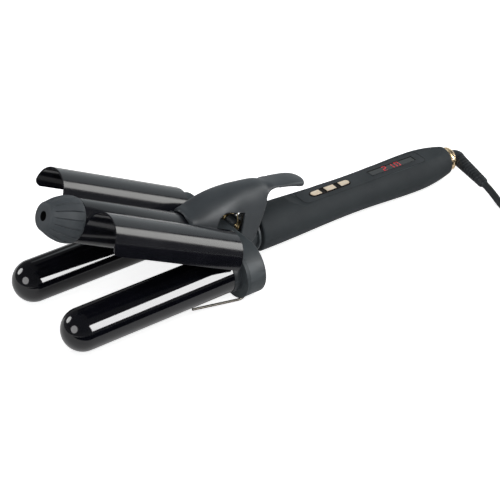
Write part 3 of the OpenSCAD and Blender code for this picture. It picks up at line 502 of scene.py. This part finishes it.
def cool_tip():
    profile = [(tip_face + hole_depth, 0), (tip_face + hole_depth, hole_r), (tip_face, hole_r),
               (tip_face, face_r), (tip_face + nose_len, nose_r)]
    for k in range(1, swell_steps + 1):
        bulge = math.sin(math.pi / 2 * k / swell_steps)
        profile.append((tip_face + nose_len + swell_len * k / swell_steps, nose_r + swell * bulge))
    profile += [(tip_root - before, r) for before, r in root_curve]
    profile += [(tip_root, 14.3), (tip_root + spigot_len, 14.25), (tip_root + spigot_len, 0)]
    bm = turned(profile, flutes * steps_to_flute, [(2, 0.5), (3, 1.4)])
    for v in bm.verts:
        out = math.hypot(v.co.y, v.co.z)
        if out < face_r - 0.2:
            continue
        along = v.co.x - tip_face
        rising, falling = (along - flutes_from) / fade_in, (flutes_to - along) / fade_out
        fade = min(1, max(0, rising)) * min(1, max(0, falling))
        off_flat = abs((math.atan2(v.co.z, v.co.y) / math.tau * flutes) % 1 - 0.5)
        groove = max(0, 1 - (0.5 - off_flat) / groove_width)
        sink = fade * (flat_depth * (1 - (2 * off_flat) ** 2) + groove_depth * groove)
        v.co.y *= 1 - sink / out
        v.co.z *= 1 - sink / out
    return bm


tip = shown("cool_tip_fluted", smooth_mesh(cool_tip(), "cool_tip", centre_axis, 50), tip_grey, "jaw",
            ["cool_tip"])
# The faces inside the tip's hole take the near-black as painted shade.
tip.data.materials.append(painted_shade_black)
into_tip = centre_axis.inverted()
for face in tip.data.polygons:
    x, y, z = into_tip @ face.center / MM
    if math.hypot(y, z) < hole_r + 0.1 and x > tip_face + 0.4:
        face.material_index = 1

# ------------------------------------------------------------------ lever
# The pin is the origin of the lever's own axes, and its nose points along -X.

lever_nose, lever_tail, lever_h, lever_half_w, lever_wall = 54.5, 48.2, 37.2, 18.2, 2.1
ear_half_w, ear_r = 15.7, 12.0
tab_half_w, tab_t = 9.6, 5.2
arch_h, arch_round, arch_slope_x = 15.5, 9.0, -9.2
nose_round = 22.0
wing_room_r, wing_axis_low = 19.45, 12.0
skirt_low = -ear_r - 1.5
ring_sides = 40
# Shares of the nose's length, of the height and of the half width, from the nose back.
shell_stations = (
    (1, 0.07, 0.604), (0.94, 0.125, 0.68), (0.88, 0.19, 0.74), (0.81, 0.305, 0.82), (0.734, 0.423, 0.885),
    (0.64, 0.535, 0.95), (0.55, 0.626, 0.995), (0.46, 0.706, 1.01), (0.367, 0.782, 1),
    (0.275, 0.848, 0.97), (0.184, 0.904, 0.93))
# Place along X, rise of the top, extra half width, squareness of the top, and lean.
ear_stations = (
    (-4.5, -1.6, 0.3, 0.82, 0), (0.5, 0.1, 0.1, 0.8, 0.01), (4.4, 0.9, 0, 0.8, 0.03),
    (7.6, 1.4, -0.2, 0.82, 0.04), (10.3, 1.6, -0.5, 0.84, 0.05))
# Share of the tab's length, rise of the top, extra half width and extra thickness.
tab_stations = (
    (-0.029, 1.6, 1, 6.4), (-0.003, 1.7, 0.6, 3.6), (0.04, 2, 0.3, 0.9), (0.114, 2.6, 0.1, -0.6),
    (0.2, 3.3, 0, -1), (0.286, 4.2, 0, -1), (0.4, 5.6, 0, -0.6), (0.543, 7.4, 0, 0.2), (0.686, 8.7, 0.1, 0.8),
    (0.8, 9.3, -0.3, 1.2), (0.88, 9.3, -1.5, 1.2), (0.914, 9.1, -2.4, 1), (0.95, 8.7, -3.8, 0.5),
    (0.975, 8.2, -5.3, -0.4), (0.993, 7.6, -7.1, -1.7), (1, 7.2, -8.4, -2.8))


def lever_ring(x, wide, low, mid, high, above=0.85, below=0.12, lean=0.0):
    """A ring across the lever: straight up from low to mid, rounded from mid to high."""
    ring = []
    for k in range(ring_sides):
        a = math.tau * k / ring_sides
        power = above if math.sin(a) >= 0 else below
        rise = squared(math.sin(a), power)
        z = mid + (high - mid if rise >= 0 else mid - low) * rise
        ring.append(Vector((x + lean * (lever_h - z), wide * squared(math.cos(a), power), z)))
    return ring


def shell_rings(wall):
    """Rings of the shell from its nose back, drawn in by the wall."""
    rings = []
    for share, height, width in shell_stations:
        x = -lever_nose * share + (wall / 2 if share == 1 else 0)
        high = lever_h * height - (1.25 if share > 0.6 else 1) * wall
        rings.append(lever_ring(x, lever_half_w * width - wall, skirt_low - wall, -3, high))
    return rings


def ear_rings(wall):
    rings = []
    for x, rise, extra, square, lean in ear_stations:
        x -= wall if x > 8 else 0
        rings.append(lever_ring(x, ear_half_w + extra - wall, skirt_low - wall, 0, lever_h + rise - wall,
                                square, 0.12, lean))
    return rings


def tab_rings():
    rings = []
    for share, rise, extra, thicker in tab_stations:
        high, thick = lever_h + rise, tab_t + thicker
        rings.append(lever_ring(ear_r + share * (lever_tail - ear_r), tab_half_w + extra, high - thick,
                                high - thick / 2, high, 0.9, 0.7))
    return rings


def plate(outline, y0, y1):
    """A plate from an (x, z) outline, between y0 and y1."""
    bm = bmesh.new()
    face = bm.faces.new([bm.verts.new((x, y0, z)) for x, z in outline])
    grown = bmesh.ops.extrude_face_region(bm, geom=[face])["geom"]
    bmesh.ops.translate(bm, vec=(0, y1 - y0, 0), verts=only(bmesh.types.BMVert, grown))
    return facing_out(bm)


def rod(radius, x0, x1, y, z):
    """A round bar along X."""
    bm = bmesh.new()
    lie = Matrix.Translation(((x0 + x1) / 2, y, z)) @ Matrix.Rotation(math.pi / 2, 4, "Y")
    bmesh.ops.create_cone(bm, cap_ends=True, segments=128, radius1=radius, radius2=radius, depth=x1 - x0,
                          matrix=lie)
    return bm


def post(radius, z0, z1, x):
    """A round bar along Z."""
    bm = bmesh.new()
    bmesh.ops.create_cone(bm, cap_ends=True, segments=96, radius1=radius, radius2=radius, depth=z1 - z0,
                          matrix=Matrix.Translation((x, 0, (z0 + z1) / 2)))
    return bm


def blank(bm, name):
    """A shape in millimetres that is cut, or cuts another, and isn't kept."""
    mesh = bpy.data.meshes.new(name)
    bm.to_mesh(mesh)
    bm.free()
    shape = bpy.data.objects.new(name, mesh)
    bpy.context.collection.objects.link(shape)
    return shape


def cut_with(piece, tool, operation):
    boolean = piece.modifiers.new(tool.name, "BOOLEAN")
    boolean.object, boolean.operation, boolean.solver = tool, operation, "EXACT"


def as_cut(piece, tools):
    """A bmesh of piece with its modifiers applied. The piece and its tools are removed."""
    mesh = bpy.data.meshes.new_from_object(piece.evaluated_get(bpy.context.evaluated_depsgraph_get()))
    for shape in [piece, *tools]:
        bpy.data.objects.remove(shape)
    bm = bmesh.new()
    bm.from_mesh(mesh)
    return bm


def arch_outline():
    """What is cut away under the skirt and the arch, as (x, z) points."""
    start, top, foot, past = jaw_rear - 1, arch_h - 1.5, -4, 200
    outline = [(-past, -past), (-past, foot), (start, foot)]
    for turn in range(180, 89, -15):
        a = math.radians(turn)
        outline.append((start + arch_round * (1 + math.cos(a)), top - arch_round * (1 - math.sin(a))))
    return outline + [(arch_slope_x, arch_h), (100, arch_h), (100, -past)]


def ear_outline():
    """The ear as (x, z) points: round about the pin, with a straight back."""
    outline = [(arch_slope_x, arch_h + 1), (-4.9, 0), (-3.6, -7)]
    for turn in range(-92, -3, 8):
        outline.append((ear_r * math.cos(math.radians(turn)), ear_r * math.sin(math.radians(turn))))
    return outline + [(ear_r, 0), (ear_r + 1, 0), (ear_r + 1, arch_h + 1)]


def lever_shell():
    """A smooth skin, hollowed, arched between its ears and cut free of the barrel and the wings."""
    inside_ears, past = 13.45, 100
    nose_centre = nose_round - lever_nose
    lever = blank(skin(shell_rings(0) + ear_rings(0) + tab_rings()), "lever_skin")
    lever.modifiers.new("smooth", "SUBSURF").levels = 2
    plan = blank(post(nose_round, -past, past, nose_centre), "nose_plan")
    hollow = blank(skin(shell_rings(lever_wall) + ear_rings(lever_wall)), "lever_hollow")
    between_ears = blank(plate(arch_outline(), -inside_ears, inside_ears), "between_ears")
    around_ears = blank(plate(arch_outline(), -60, 60), "around_ears")
    ears = blank(plate(ear_outline(), -61, 61), "ears")
    cut_with(around_ears, ears, "DIFFERENCE")
    barrel = blank(rod(barrel_r + 0.35, -200, 0, 0, -jaw_drop), "barrel_room")
    wings = [blank(rod(wing_room_r, -200, 0, side * barrel_pitch, -wing_axis_low), "wing_room_%d" % side)
             for side in (1, -1)]
    behind_outline = [(nose_centre, -past), (past, -past), (past, past), (nose_centre, past)]
    behind = blank(plate(behind_outline, -99, 99), "behind_nose")
    cut_with(plan, behind, "UNION")
    cut_with(lever, plan, "INTERSECT")
    tools = [hollow, between_ears, around_ears, barrel, *wings]
    for shape in tools:
        cut_with(lever, shape, "DIFFERENCE")
    remesh = lever.modifiers.new("even", "REMESH")
    remesh.mode, remesh.voxel_size = "VOXEL", 0.42
    soften = lever.modifiers.new("soften", "SMOOTH")
    soften.factor, soften.iterations = 0.5, 8
    bm = as_cut(lever, [plan, *tools, behind, ears])
    tab_root = [v for v in bm.verts if 5 < v.co.x < 21 and v.co.z > 27]
    for _ in range(70):
        bmesh.ops.smooth_vert(bm, verts=tab_root, factor=0.5, use_axis_x=True, use_axis_y=True,
                              use_axis_z=True)
    return bm


shown("lever_shell_moulded", smooth_mesh(lever_shell(), "lever_shell", on_jaw, 60), lever_grey, "jaw",
      ["lever_shell"])

# ------------------------------------------------------------------ parts finished from their solids
# Each with the width of its broken edges.

for node, material, width in (
        ("yoke_housing", housing_grey, 0.3), ("yoke_front_plate", plate_grey, 0.25),
        ("wing_left", wing_black, 0.22), ("wing_right", wing_black, 0.22),
        ("jaw_saddle", saddle_grey, 0.3), ("jaw_bracket", sheet_steel, 0.12),
        ("handle_top_shell", handle_grey, 0.22), ("handle_bottom_shell", handle_grey, 0.22),
        ("control_panel", panel_grey, 0.15), ("button_bezel", bezel_black, 0.12),
        ("display_window", window_black, 0.12), ("minus_button", pale_gold, 0.3),
        ("plus_button", pale_gold, 0.3), ("power_button", pale_gold, 0.3), ("tail_ring", bright_gold, 0.12)):
    finished(node, material, width)


def rims(node):
    """The lines round the top face of a solid, each as a closed loop of points, the longest first."""
    bm = merged(node)
    bm.normal_update()
    neighbours = {}
    for e in bm.edges:
        if e.is_manifold and sum(f.normal.z > 0.5 for f in e.link_faces) == 1:
            for v in e.verts:
                neighbours.setdefault(v, []).append(e.other_vert(v))
    loops, walked = [], set()
    for start in neighbours:
        line, here = [], start
        while here is not None and here not in walked:
            walked.add(here)
            line.append(here.co.copy())
            here = next((v for v in neighbours[here] if v not in walked), None)
        if len(line) > 3:
            loops.append(line)
    return sorted(loops, key=len, reverse=True)


# Painted shade: a dark strip round the control panel's top face, standing in for the shadow in its gap.
wire("panel_gap_shade", rims("control_panel")[0], 0.3, gap_shade_black, "body", sides=1, closed=True)
# Painted shadow: a black line round the display window's rim, for the shadow of the window's thickness.
wire("window_edge_shadow", rims("display_window")[0], 0.5, painted_shade_black, "body", sides=1, closed=True)
# Painted shade: lines in the bezel's own black along its top edges, darkening the recess round the buttons.
for number, line in enumerate(rims("button_bezel")):
    wire("bezel_seam_%d" % number, line, 0.42, bezel_black, "body", sides=1, closed=True)

for node, material in (
        ("heater_left", heater_alloy), ("heater_right", heater_alloy), ("heater_centre", heater_alloy),
        ("barrel_fuses", fuse_white), ("jaw_fuse", fuse_white), ("display_module", module_black),
        ("circuit_board", board_green), ("tact_switches", switch_metal), ("wire_sleeve", sleeve_red),
        ("hinge_pin", screw_steel)):
    coat(node, material)

# ------------------------------------------------------------------ screws

screw_r = 1.3
head_h = 1.6
thread_pitch, thread_depth = 0.7, 0.22


def cross_screw(shank):
    """A pan-head screw along -X with a thread. Its head's underside is at the origin."""
    head_r = 2 * screw_r
    profile = [(head_h, 0), (head_h, head_r - 0.5), (head_h - 0.5, head_r), (0, head_r), (0, screw_r)]
    x = -0.5
    while x > 0.6 - shank:
        profile += [(x, screw_r), (x - 0.3, screw_r - thread_depth), (x - 0.45, screw_r - thread_depth)]
        x -= thread_pitch
    return turned(profile + [(-shank, screw_r * 0.4), (-shank, 0)], 32)


def joined(parts, name):
    """One bmesh of the parts, which are used up."""
    whole = bmesh.new()
    for part in parts:
        mesh = bpy.data.meshes.new(name)
        part.to_mesh(mesh)
        part.free()
        whole.from_mesh(mesh)
        bpy.data.meshes.remove(mesh)
    return whole


def screws(name, places, shank, body, node):
    """Screws at places, each with a cross recess in its head."""
    bar_size = Matrix.Diagonal((1.4, 2.6, 0.5, 1))
    parts = []
    for place in places:
        screw = blank(cross_screw(shank), "screw_blank")
        bars = []
        for turn in (0, math.pi / 2):
            bar = bmesh.new()
            across = Matrix.Translation((head_h, 0, 0)) @ Matrix.Rotation(turn, 4, "X")
            bmesh.ops.create_cube(bar, size=1.0, matrix=across @ bar_size)
            bars.append(blank(bar, "recess_bar"))
            cut_with(screw, bars[-1], "DIFFERENCE")
        part = as_cut(screw, bars)
        bmesh.ops.transform(part, matrix=place @ Matrix.Scale(MM, 4), verts=part.verts)
        parts.append(part)
    shown(name, smooth_mesh(joined(parts, "screw_part"), name), screw_steel, body, [node])


face_front = Matrix.Rotation(math.pi, 4, "Z")
face_down = Matrix.Rotation(math.pi / 2, 4, "Y")
screws("plate_screws", [beside(seated, yoke_x + 1.6, y, -12) @ face_front for y in (12, -12)], 8, "body",
       "yoke_screws")
screws("shell_screws", [beside(on_handle, x, 0, -8) @ face_down for x in (49.5, 104)], 15.6, "body",
       "handle_screws")
screws("lever_fixing", [beside(on_jaw, -16, 0, arch_h) @ face_down], 7, "jaw", "lever_screw")

# ------------------------------------------------------------------ spring and stand


def spring_points(side):
    """Four turns round the pin, beside the bracket, with an arm up to the lever."""
    inner, outer, coil_r, thick, turns, turn_steps = 5.15, 11.55, 4.9, 1.3, 4, 28
    rise = outer - inner - thick
    points = []
    for i in range(turns * turn_steps + 1):
        share = i / (turns * turn_steps)
        a = math.radians(200 + (360 * turns + 40) * share)
        y = side * (inner + thick / 2 + rise * share)
        points.append(point(on_jaw, coil_r * math.cos(a), y, coil_r * math.sin(a)))
    return points + [point(on_jaw, -13, side * (outer - thick / 2), arch_h - thick)]


for side, name in ((1, "left"), (-1, "right")):
    wire("hinge_spring_" + name, spring_points(side), 0.65, spring_gold, "jaw", ["torsion_spring"])

stand_x, stand_y, stand_low, stand_bend, stand_r = 152.0, 44.7, 16.6, 2.0, 1.0
foot_x, foot_z = yoke_x + 2.5, 1 - rest_height
leg_end_x, leg_end_z = foot_x - 42, -14.5


def stand_points():
    """From the end of one leg, over the crossbar, to the end of the other."""
    half = []
    for turn in range(0, 91, 15):
        a = math.radians(turn)
        x, y = stand_x - stand_bend * (1 - math.cos(a)), stand_y - stand_bend * (1 - math.sin(a))
        half.append((x, y, -stand_low))
    for x, z in ((foot_x + 3.5, foot_z + 1.2), (foot_x + 1.6, foot_z + 0.2), (foot_x, foot_z),
                 (foot_x - 2, foot_z + 0.25), (leg_end_x, leg_end_z)):
        half.append((x, stand_y, z))
    other_half = [(x, -y, z) for x, y, z in half]
    return [point(seated, *p) for p in half[::-1] + other_half]


wire("stand_wire_drawn", stand_points(), stand_r, wire_steel, "stand", ["stand_wire"], 6)

# ------------------------------------------------------------------ display digits

panel_start, window_mid = 45.0, 92.5
window_x = panel_start + window_mid
window_underside = 12.72
segments = {"0": "abcdef", "1": "bc", "2": "abged"}


def digits(text, x0, height, step, thick):
    """Seven-bar digits that read along the handle, on the window's underside."""
    bm = bmesh.new()
    half_w, half = height * 0.26, height / 2
    # Place across and up the digit, and whether the bar is upright.
    bars = {"a": (0, half, False), "g": (0, 0, False), "d": (0, -half, False), "b": (half_w, half / 2, True),
            "c": (half_w, -half / 2, True), "e": (-half_w, -half / 2, True), "f": (-half_w, half / 2, True)}
    for place, character in enumerate(text):
        for bar in segments[character]:
            across, up, upright = bars[bar]
            size = (thick, half - thick / 2, 0.1) if upright else (2 * half_w - thick / 2, thick, 0.1)
            at = Matrix.Translation((x0 + place * step + across, up, window_underside))
            bmesh.ops.create_cube(bm, size=1.0, matrix=at @ Matrix.Diagonal((*size, 1)))
    bevelled(bm, 0.12)
    return bm


temperature = digits("210", window_x - 7.4, height=6.2, step=6.6, thick=0.95)
shown("temperature_digits", smooth_mesh(temperature, "temperature_digits", on_handle), digit_red, "body")

# ------------------------------------------------------------------ swivel, cord and plug

cord_r = 3.0
lie = cord_r - rest_height + 0.02
# From the strain relief down to the table and round to the coil.
route = [(387.9, -41.6, -12.6), (387.4, -47, -13.6), (387.1, -52, -15.1), (386.8, -57, -17),
         (386.4, -62, -18.9), (386, -68, lie + 0.48), (385.7, -75, lie), (385.6, -84, lie), (386, -94, lie),
         (386.9, -103, lie), (388.3, -111, lie), (390.2, -119, lie), (392.2, -127, lie), (394, -134.6, lie),
         (395.6, -141.8, lie)]
coil_centre = Vector((359, -163, 0))
coil_start = math.atan2(21.2, 36.6)
coil_layers = ((36, 30, 24), (24, 30, 36), (36, 30, 24), (24, 30, 36))
coil_top = 24.02 - rest_height
turn_steps, step_share = 26, 0.2
join_share, join_out = 0.14, 6.3


def coil_points():
    """Twelve turns in four layers. The last rises onto the coil before it closes."""
    turns = [(r, layer) for layer, radii in enumerate(coil_layers) for r in radii] + [(38, 4)]
    last, last_share = len(turns) - 2, 0.7
    points = []
    for k, ((r, layer), (next_r, next_layer)) in enumerate(zip(turns, turns[1:])):
        # A turn keeps its radius until the cord steps over to the next one.
        step_from = 0.5 if k == last else 1 - step_share
        for i in range(turn_steps):
            t = i / turn_steps
            if k == last and t > last_share:
                break
            ease = 0 if t < step_from else (1 - math.cos(math.pi * (t - step_from) / step_share)) / 2
            radius = r + (next_r - r) * ease
            if k == 0 and t < join_share:
                radius += join_out * (1 - t / join_share) ** 2
            a = coil_start - math.tau * (k + t)
            rise = 0.3 * min(1, k + t * 4) + 2 * cord_r * (layer + (next_layer - layer) * ease)
            points.append(coil_centre + Vector((radius * math.cos(a), radius * math.sin(a), lie + rise)))
    return points[1:]


plug_z = coil_top + 7.02
plug_at = Vector((376.5, -148.6, plug_z))
tail_route = [(345.5, -129.4, coil_top + 3.3), (352.5, -125.9, coil_top + 3.5),
              (359.6, -125.4, coil_top + 4.1), (366.5, -127.9, coil_top + 5.1),
              (372.3, -132.9, coil_top + 6.1), (375.6, -139.2, coil_top + 6.8),
              (376.5, -144.4, plug_z), tuple(plug_at)]
lead = smooth_line([Vector(p) for p in route], 2)
onto_coil = smooth_line(lead[-5:-1] + coil_points() + [Vector(p) for p in tail_route], 1)
cord_points = [seated @ (p * MM) for p in lead[:-5] + onto_coil]
cord = wire("mains_cord", cord_points, cord_r, cord_black, "swivel",
            ["cord_lead", "cord_coil", "cord_tail"], 5)

handle_len, ring_len, ball_past_ring = 193.5, 7.5, 6.3
ball_x = handle_len + ring_len + ball_past_ring
# Shares of the sleeve's length say where it narrows, where its ribs are and where its end closes in.
relief_r, narrowing, narrows_from = 5.95, 1.65, 0.35
relief_ribs, ribs_from, ribs_to, rib_share, rib_drop = 12, 0.43, 0.94, 0.55, 0.9
closes_from, closing = 0.97, 24


def relief_line():
    """From inside the tail ring, over the swivel's ball, to where the cord comes out."""
    along = Vector((math.cos(handle_tilt), 0, -math.sin(handle_tilt)))
    ball = Vector((handle_x, 0, -handle_low)) + along * ball_x
    end = Vector(route[0])
    away = (end - ball).normalized()
    bend = [ball - along * 6.2, ball - along * 4.2, ball - along * 1.6 + away * 0.6]
    bend += [ball + away * 2.6, ball + away * 5.5, ball + away * 9.5]
    return smooth_line(bend + [bend[-1].lerp(end, k / 4) for k in range(1, 5)], 22)


def strain_relief():
    """A tapering sleeve with ribs and a closed-in end."""
    line = relief_line()
    radii = []
    for i in range(len(line)):
        t = i / (len(line) - 1)
        radius = relief_r - narrowing * max(0, (t - narrows_from) / (1 - narrows_from))
        rib = (t - ribs_from) / (ribs_to - ribs_from) * relief_ribs
        if ribs_from < t < ribs_to and rib % 1 > rib_share:
            radius -= rib_drop
        if t > closes_from:
            radius -= (t - closes_from) * closing
        radii.append(radius)
    return swept(line, radii, 40)


relief = shown("strain_relief_ribbed", smooth_mesh(strain_relief(), "strain_relief", seated, 28),
               relief_black, "swivel", ["strain_relief"])

plug_len = 36.0
# Distance from the cord's end, half width and half thickness.
plug_sections = ((0, 3.8, 3.8), (10, 5, 4.9), (12.5, 7.4, 5.9), (15, 10, 6.6), (20, 11.8, 6.95),
                 (26, 12.6, 6.95), (33, 12.9, 6.95), (plug_len - 0.6, 12.9, 6.9), (plug_len, 12.4, 6.4))
prong_r, prong_len, prong_y = 2.0, 19.0, 9.5


def plug_shape():
    """A flat round-cornered plug, along -Y from its cord."""
    corners = [(squared(c.x, 0.72), squared(c.y, 0.8)) for c in circle(48)]
    return skin([[Vector((x * wide, -y, z * thick)) for x, z in corners] for y, wide, thick in plug_sections])


def plug_pins():
    pins = []
    for side in (1, -1):
        pin = turned([(0, 0), (0, prong_r), (prong_len, prong_r), (prong_len, 0)], 48, [(2, prong_r - 0.1)])
        out = Matrix.Translation((side * prong_y, -plug_len, 0)) @ Matrix.Rotation(-math.pi / 2, 4, "Z")
        bmesh.ops.transform(pin, matrix=out, verts=pin.verts)
        pins.append(pin)
    return joined(pins, "pin_part")


plug_place = beside(seated, *plug_at)
plug = shown("plug_moulded", smooth_mesh(plug_shape(), "plug_body", plug_place, 40), plug_black, "swivel",
             ["plug_body"])
pins = shown("plug_pins_plated", smooth_mesh(plug_pins(), "plug_pins", plug_place), pin_nickel, "swivel",
             ["plug_pins"])

# Once round the bundle, as (radius from the coil's centre, height) points.
tie_section = ((20.4, 3), (20.6, 0.7), (22, 0.12), (30, 0.12), (38, 0.12), (39.5, 0.8), (39.9, 3),
               (39.9, 12), (39.9, 22), (39.4, 24.4), (38, 25.2), (30, 25.3), (22, 25.2), (20.7, 24.4),
               (20.3, 22), (20.3, 12))
tie_width, tie_thick, tie_turn = 12.0, 0.5, math.radians(-140)


def coil_tie():
    """A strap once round the coil's bundle."""
    strap = bmesh.new()
    loop = smooth_line([Vector((r, 0, z)) for r, z in tie_section + tie_section[:1]], 3)
    edge = [strap.verts.new(p) for p in loop[:-1]]
    rows = [strap.edges.new(pair) for pair in zip(edge, edge[1:] + edge[:1])]
    grown = bmesh.ops.extrude_edge_only(strap, edges=rows)["geom"]
    bmesh.ops.translate(strap, vec=(0, tie_width, 0), verts=only(bmesh.types.BMVert, grown))
    bmesh.ops.solidify(strap, geom=facing_out(strap).faces[:], thickness=tie_thick)
    place = beside(seated, coil_centre.x, coil_centre.y, -rest_height) @ Matrix.Rotation(tie_turn, 4, "Z")
    return smooth_mesh(facing_out(strap), "coil_tie", beside(place, 0, -tie_width / 2), 50)


tie = shown("coil_tie", coil_tie(), tie_black, "swivel")

# ------------------------------------------------------------------ floor and light
# Lengths are in metres from here on.


def plain_material(name, level, roughness, specular):
    """A stage material in one grey, and its tree and shader."""
    material = bpy.data.materials.new(name)
    material.use_nodes = True
    shader = material.node_tree.nodes["Principled BSDF"]
    shader.inputs["Base Color"].default_value = (level, level, level, 1)
    shader.inputs["Roughness"].default_value = roughness
    shader.inputs["Specular IOR Level"].default_value = specular
    return material, material.node_tree, shader


def laid_flat(bm, name, material):
    """A stage object of bm, in the material."""
    mesh = bpy.data.meshes.new(name)
    bm.to_mesh(mesh)
    bm.free()
    mesh.materials.append(material)
    flat = bpy.data.objects.new(name, mesh)
    bpy.context.collection.objects.link(flat)
    return flat


def floor():
    """White paper, which stays white to the camera and pale in polished surfaces."""
    radius, middle = 1.35, (0.1, 0.1, 0)
    bm = bmesh.new()
    bmesh.ops.create_circle(bm, cap_ends=True, segments=96, radius=radius, matrix=Matrix.Translation(middle))
    material, tree, shader = plain_material("floor_paper", 0.9, 0.9, 0.1)
    shader.inputs["Emission Color"].default_value = (1, 1, 1, 1)
    rays = tree.nodes.new("ShaderNodeLightPath")
    glow = None
    for kind, strength in (("Is Camera Ray", 0.84), ("Is Glossy Ray", 0.3), ("Is Transmission Ray", 0.3)):
        share = tree.nodes.new("ShaderNodeMath")
        share.operation = "MULTIPLY_ADD"
        share.inputs[1].default_value, share.inputs[2].default_value = strength, 0.0
        tree.links.new(rays.outputs[kind], share.inputs[0])
        if glow is not None:
            tree.links.new(glow, share.inputs[2])
        glow = share.outputs[0]
    tree.links.new(glow, shader.inputs["Emission Strength"])
    laid_flat(bm, "floor", material)


def studio():
    """Dim walls that darken upwards, and white where the camera sees them."""
    # Height in the direction looked in, and the level there.
    shades, blue = ((0.02, 0.2), (0.45, 0.1)), 1.03
    world = bpy.data.worlds.new("studio")
    bpy.context.scene.world = world
    world.use_nodes = True
    tree = world.node_tree
    background = tree.nodes["Background"]
    split = tree.nodes.new("ShaderNodeSeparateXYZ")
    tree.links.new(tree.nodes.new("ShaderNodeTexCoord").outputs["Generated"], split.inputs[0])
    fade = tree.nodes.new("ShaderNodeValToRGB")
    tree.links.new(split.outputs["Z"], fade.inputs["Fac"])
    for stop, (height, level) in zip(fade.color_ramp.elements, shades):
        stop.position, stop.color = height, (level, level, level * blue, 1)
    backdrop = tree.nodes.new("ShaderNodeMix")
    backdrop.data_type = "RGBA"
    tree.links.new(tree.nodes.new("ShaderNodeLightPath").outputs["Is Camera Ray"], backdrop.inputs["Factor"])
    tree.links.new(fade.outputs["Color"], backdrop.inputs["A"])
    backdrop.inputs["B"].default_value = (1, 1, 1, 1)
    tree.links.new(backdrop.outputs["Result"], background.inputs["Color"])
    background.inputs["Strength"].default_value = 1.0


def black_card(name, x0, x1, y0, y1):
    """Lies just over the floor, where only polished surfaces show it, as a dark band."""
    over_floor = 0.0006
    bm = bmesh.new()
    bmesh.ops.create_grid(bm, x_segments=1, y_segments=1, size=0.5)
    bmesh.ops.scale(bm, vec=(x1 - x0, y1 - y0, 1), verts=bm.verts)
    bmesh.ops.translate(bm, vec=((x0 + x1) / 2, (y0 + y1) / 2, over_floor), verts=bm.verts)
    card = laid_flat(bm, name, plain_material("black_velvet", 0.0, 0.5, 0.0)[0])
    for ray in ("camera", "diffuse", "transmission", "shadow", "volume_scatter"):
        setattr(card, "visible_" + ray, False)


def bearing(turn, rise, distance, start=(-0.1, -0.03, 0.05)):
    """The point at this distance from start, turn degrees round from the tail and rise degrees up."""
    turn, rise = math.radians(turn), math.radians(rise)
    way = Vector((math.cos(turn) * math.cos(rise), math.sin(turn) * math.cos(rise), math.sin(rise)))
    return Vector(start) + way * distance


def lamp(name, centre, wide, tall, brightness, look_at=(0, 0, 0.04), on_matte=True, mirrored=True,
         shape="RECTANGLE", tint=(1, 1, 1)):
    """A soft box at centre that faces look_at. brightness is what a mirror would show of it."""
    data = bpy.data.lights.new(name, "AREA")
    data.shape, data.color = shape, tint
    data.size, data.size_y = wide, tall
    data.energy = brightness * math.pi * wide * tall * (math.pi / 4 if shape == "ELLIPSE" else 1)
    box = bpy.data.objects.new(name, data)
    box.location = centre
    box.rotation_mode = "QUATERNION"
    box.rotation_quaternion = (Vector(centre) - Vector(look_at)).to_track_quat("Z", "Y")
    box.visible_diffuse, box.visible_glossy, box.visible_camera = on_matte, mirrored, False
    bpy.context.collection.objects.link(box)


floor()
studio()
black_card("front_flag", -0.45, 0.6, -0.9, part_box("outer_barrel_right")[0][1] - 0.05)
lamp("top_fill", bearing(-100, 62, 2.2), 2.4, 2.4, 2.1, mirrored=False)
lamp("back_card", bearing(36, 20, 1.5), 1.7, 1.1, 0.75, tint=(0.9, 0.98, 1))
lamp("key_box", bearing(-63.5, 25, 1.5), 0.52, 0.82, 19, on_matte=False)
lamp("tail_panel", bearing(-14, 17, 1.6), 0.64, 0.72, 6, on_matte=False, tint=(1, 1, 0.97))
domes = (-0.19, 0, 0.03)
for name, turn, size, brightness in (("dish", -167, 0.9, 5), ("small_dish", 124, 0.62, 8)):
    lamp(name, bearing(turn, 27, 1.4, domes), size, size, brightness, domes, on_matte=False, shape="ELLIPSE")
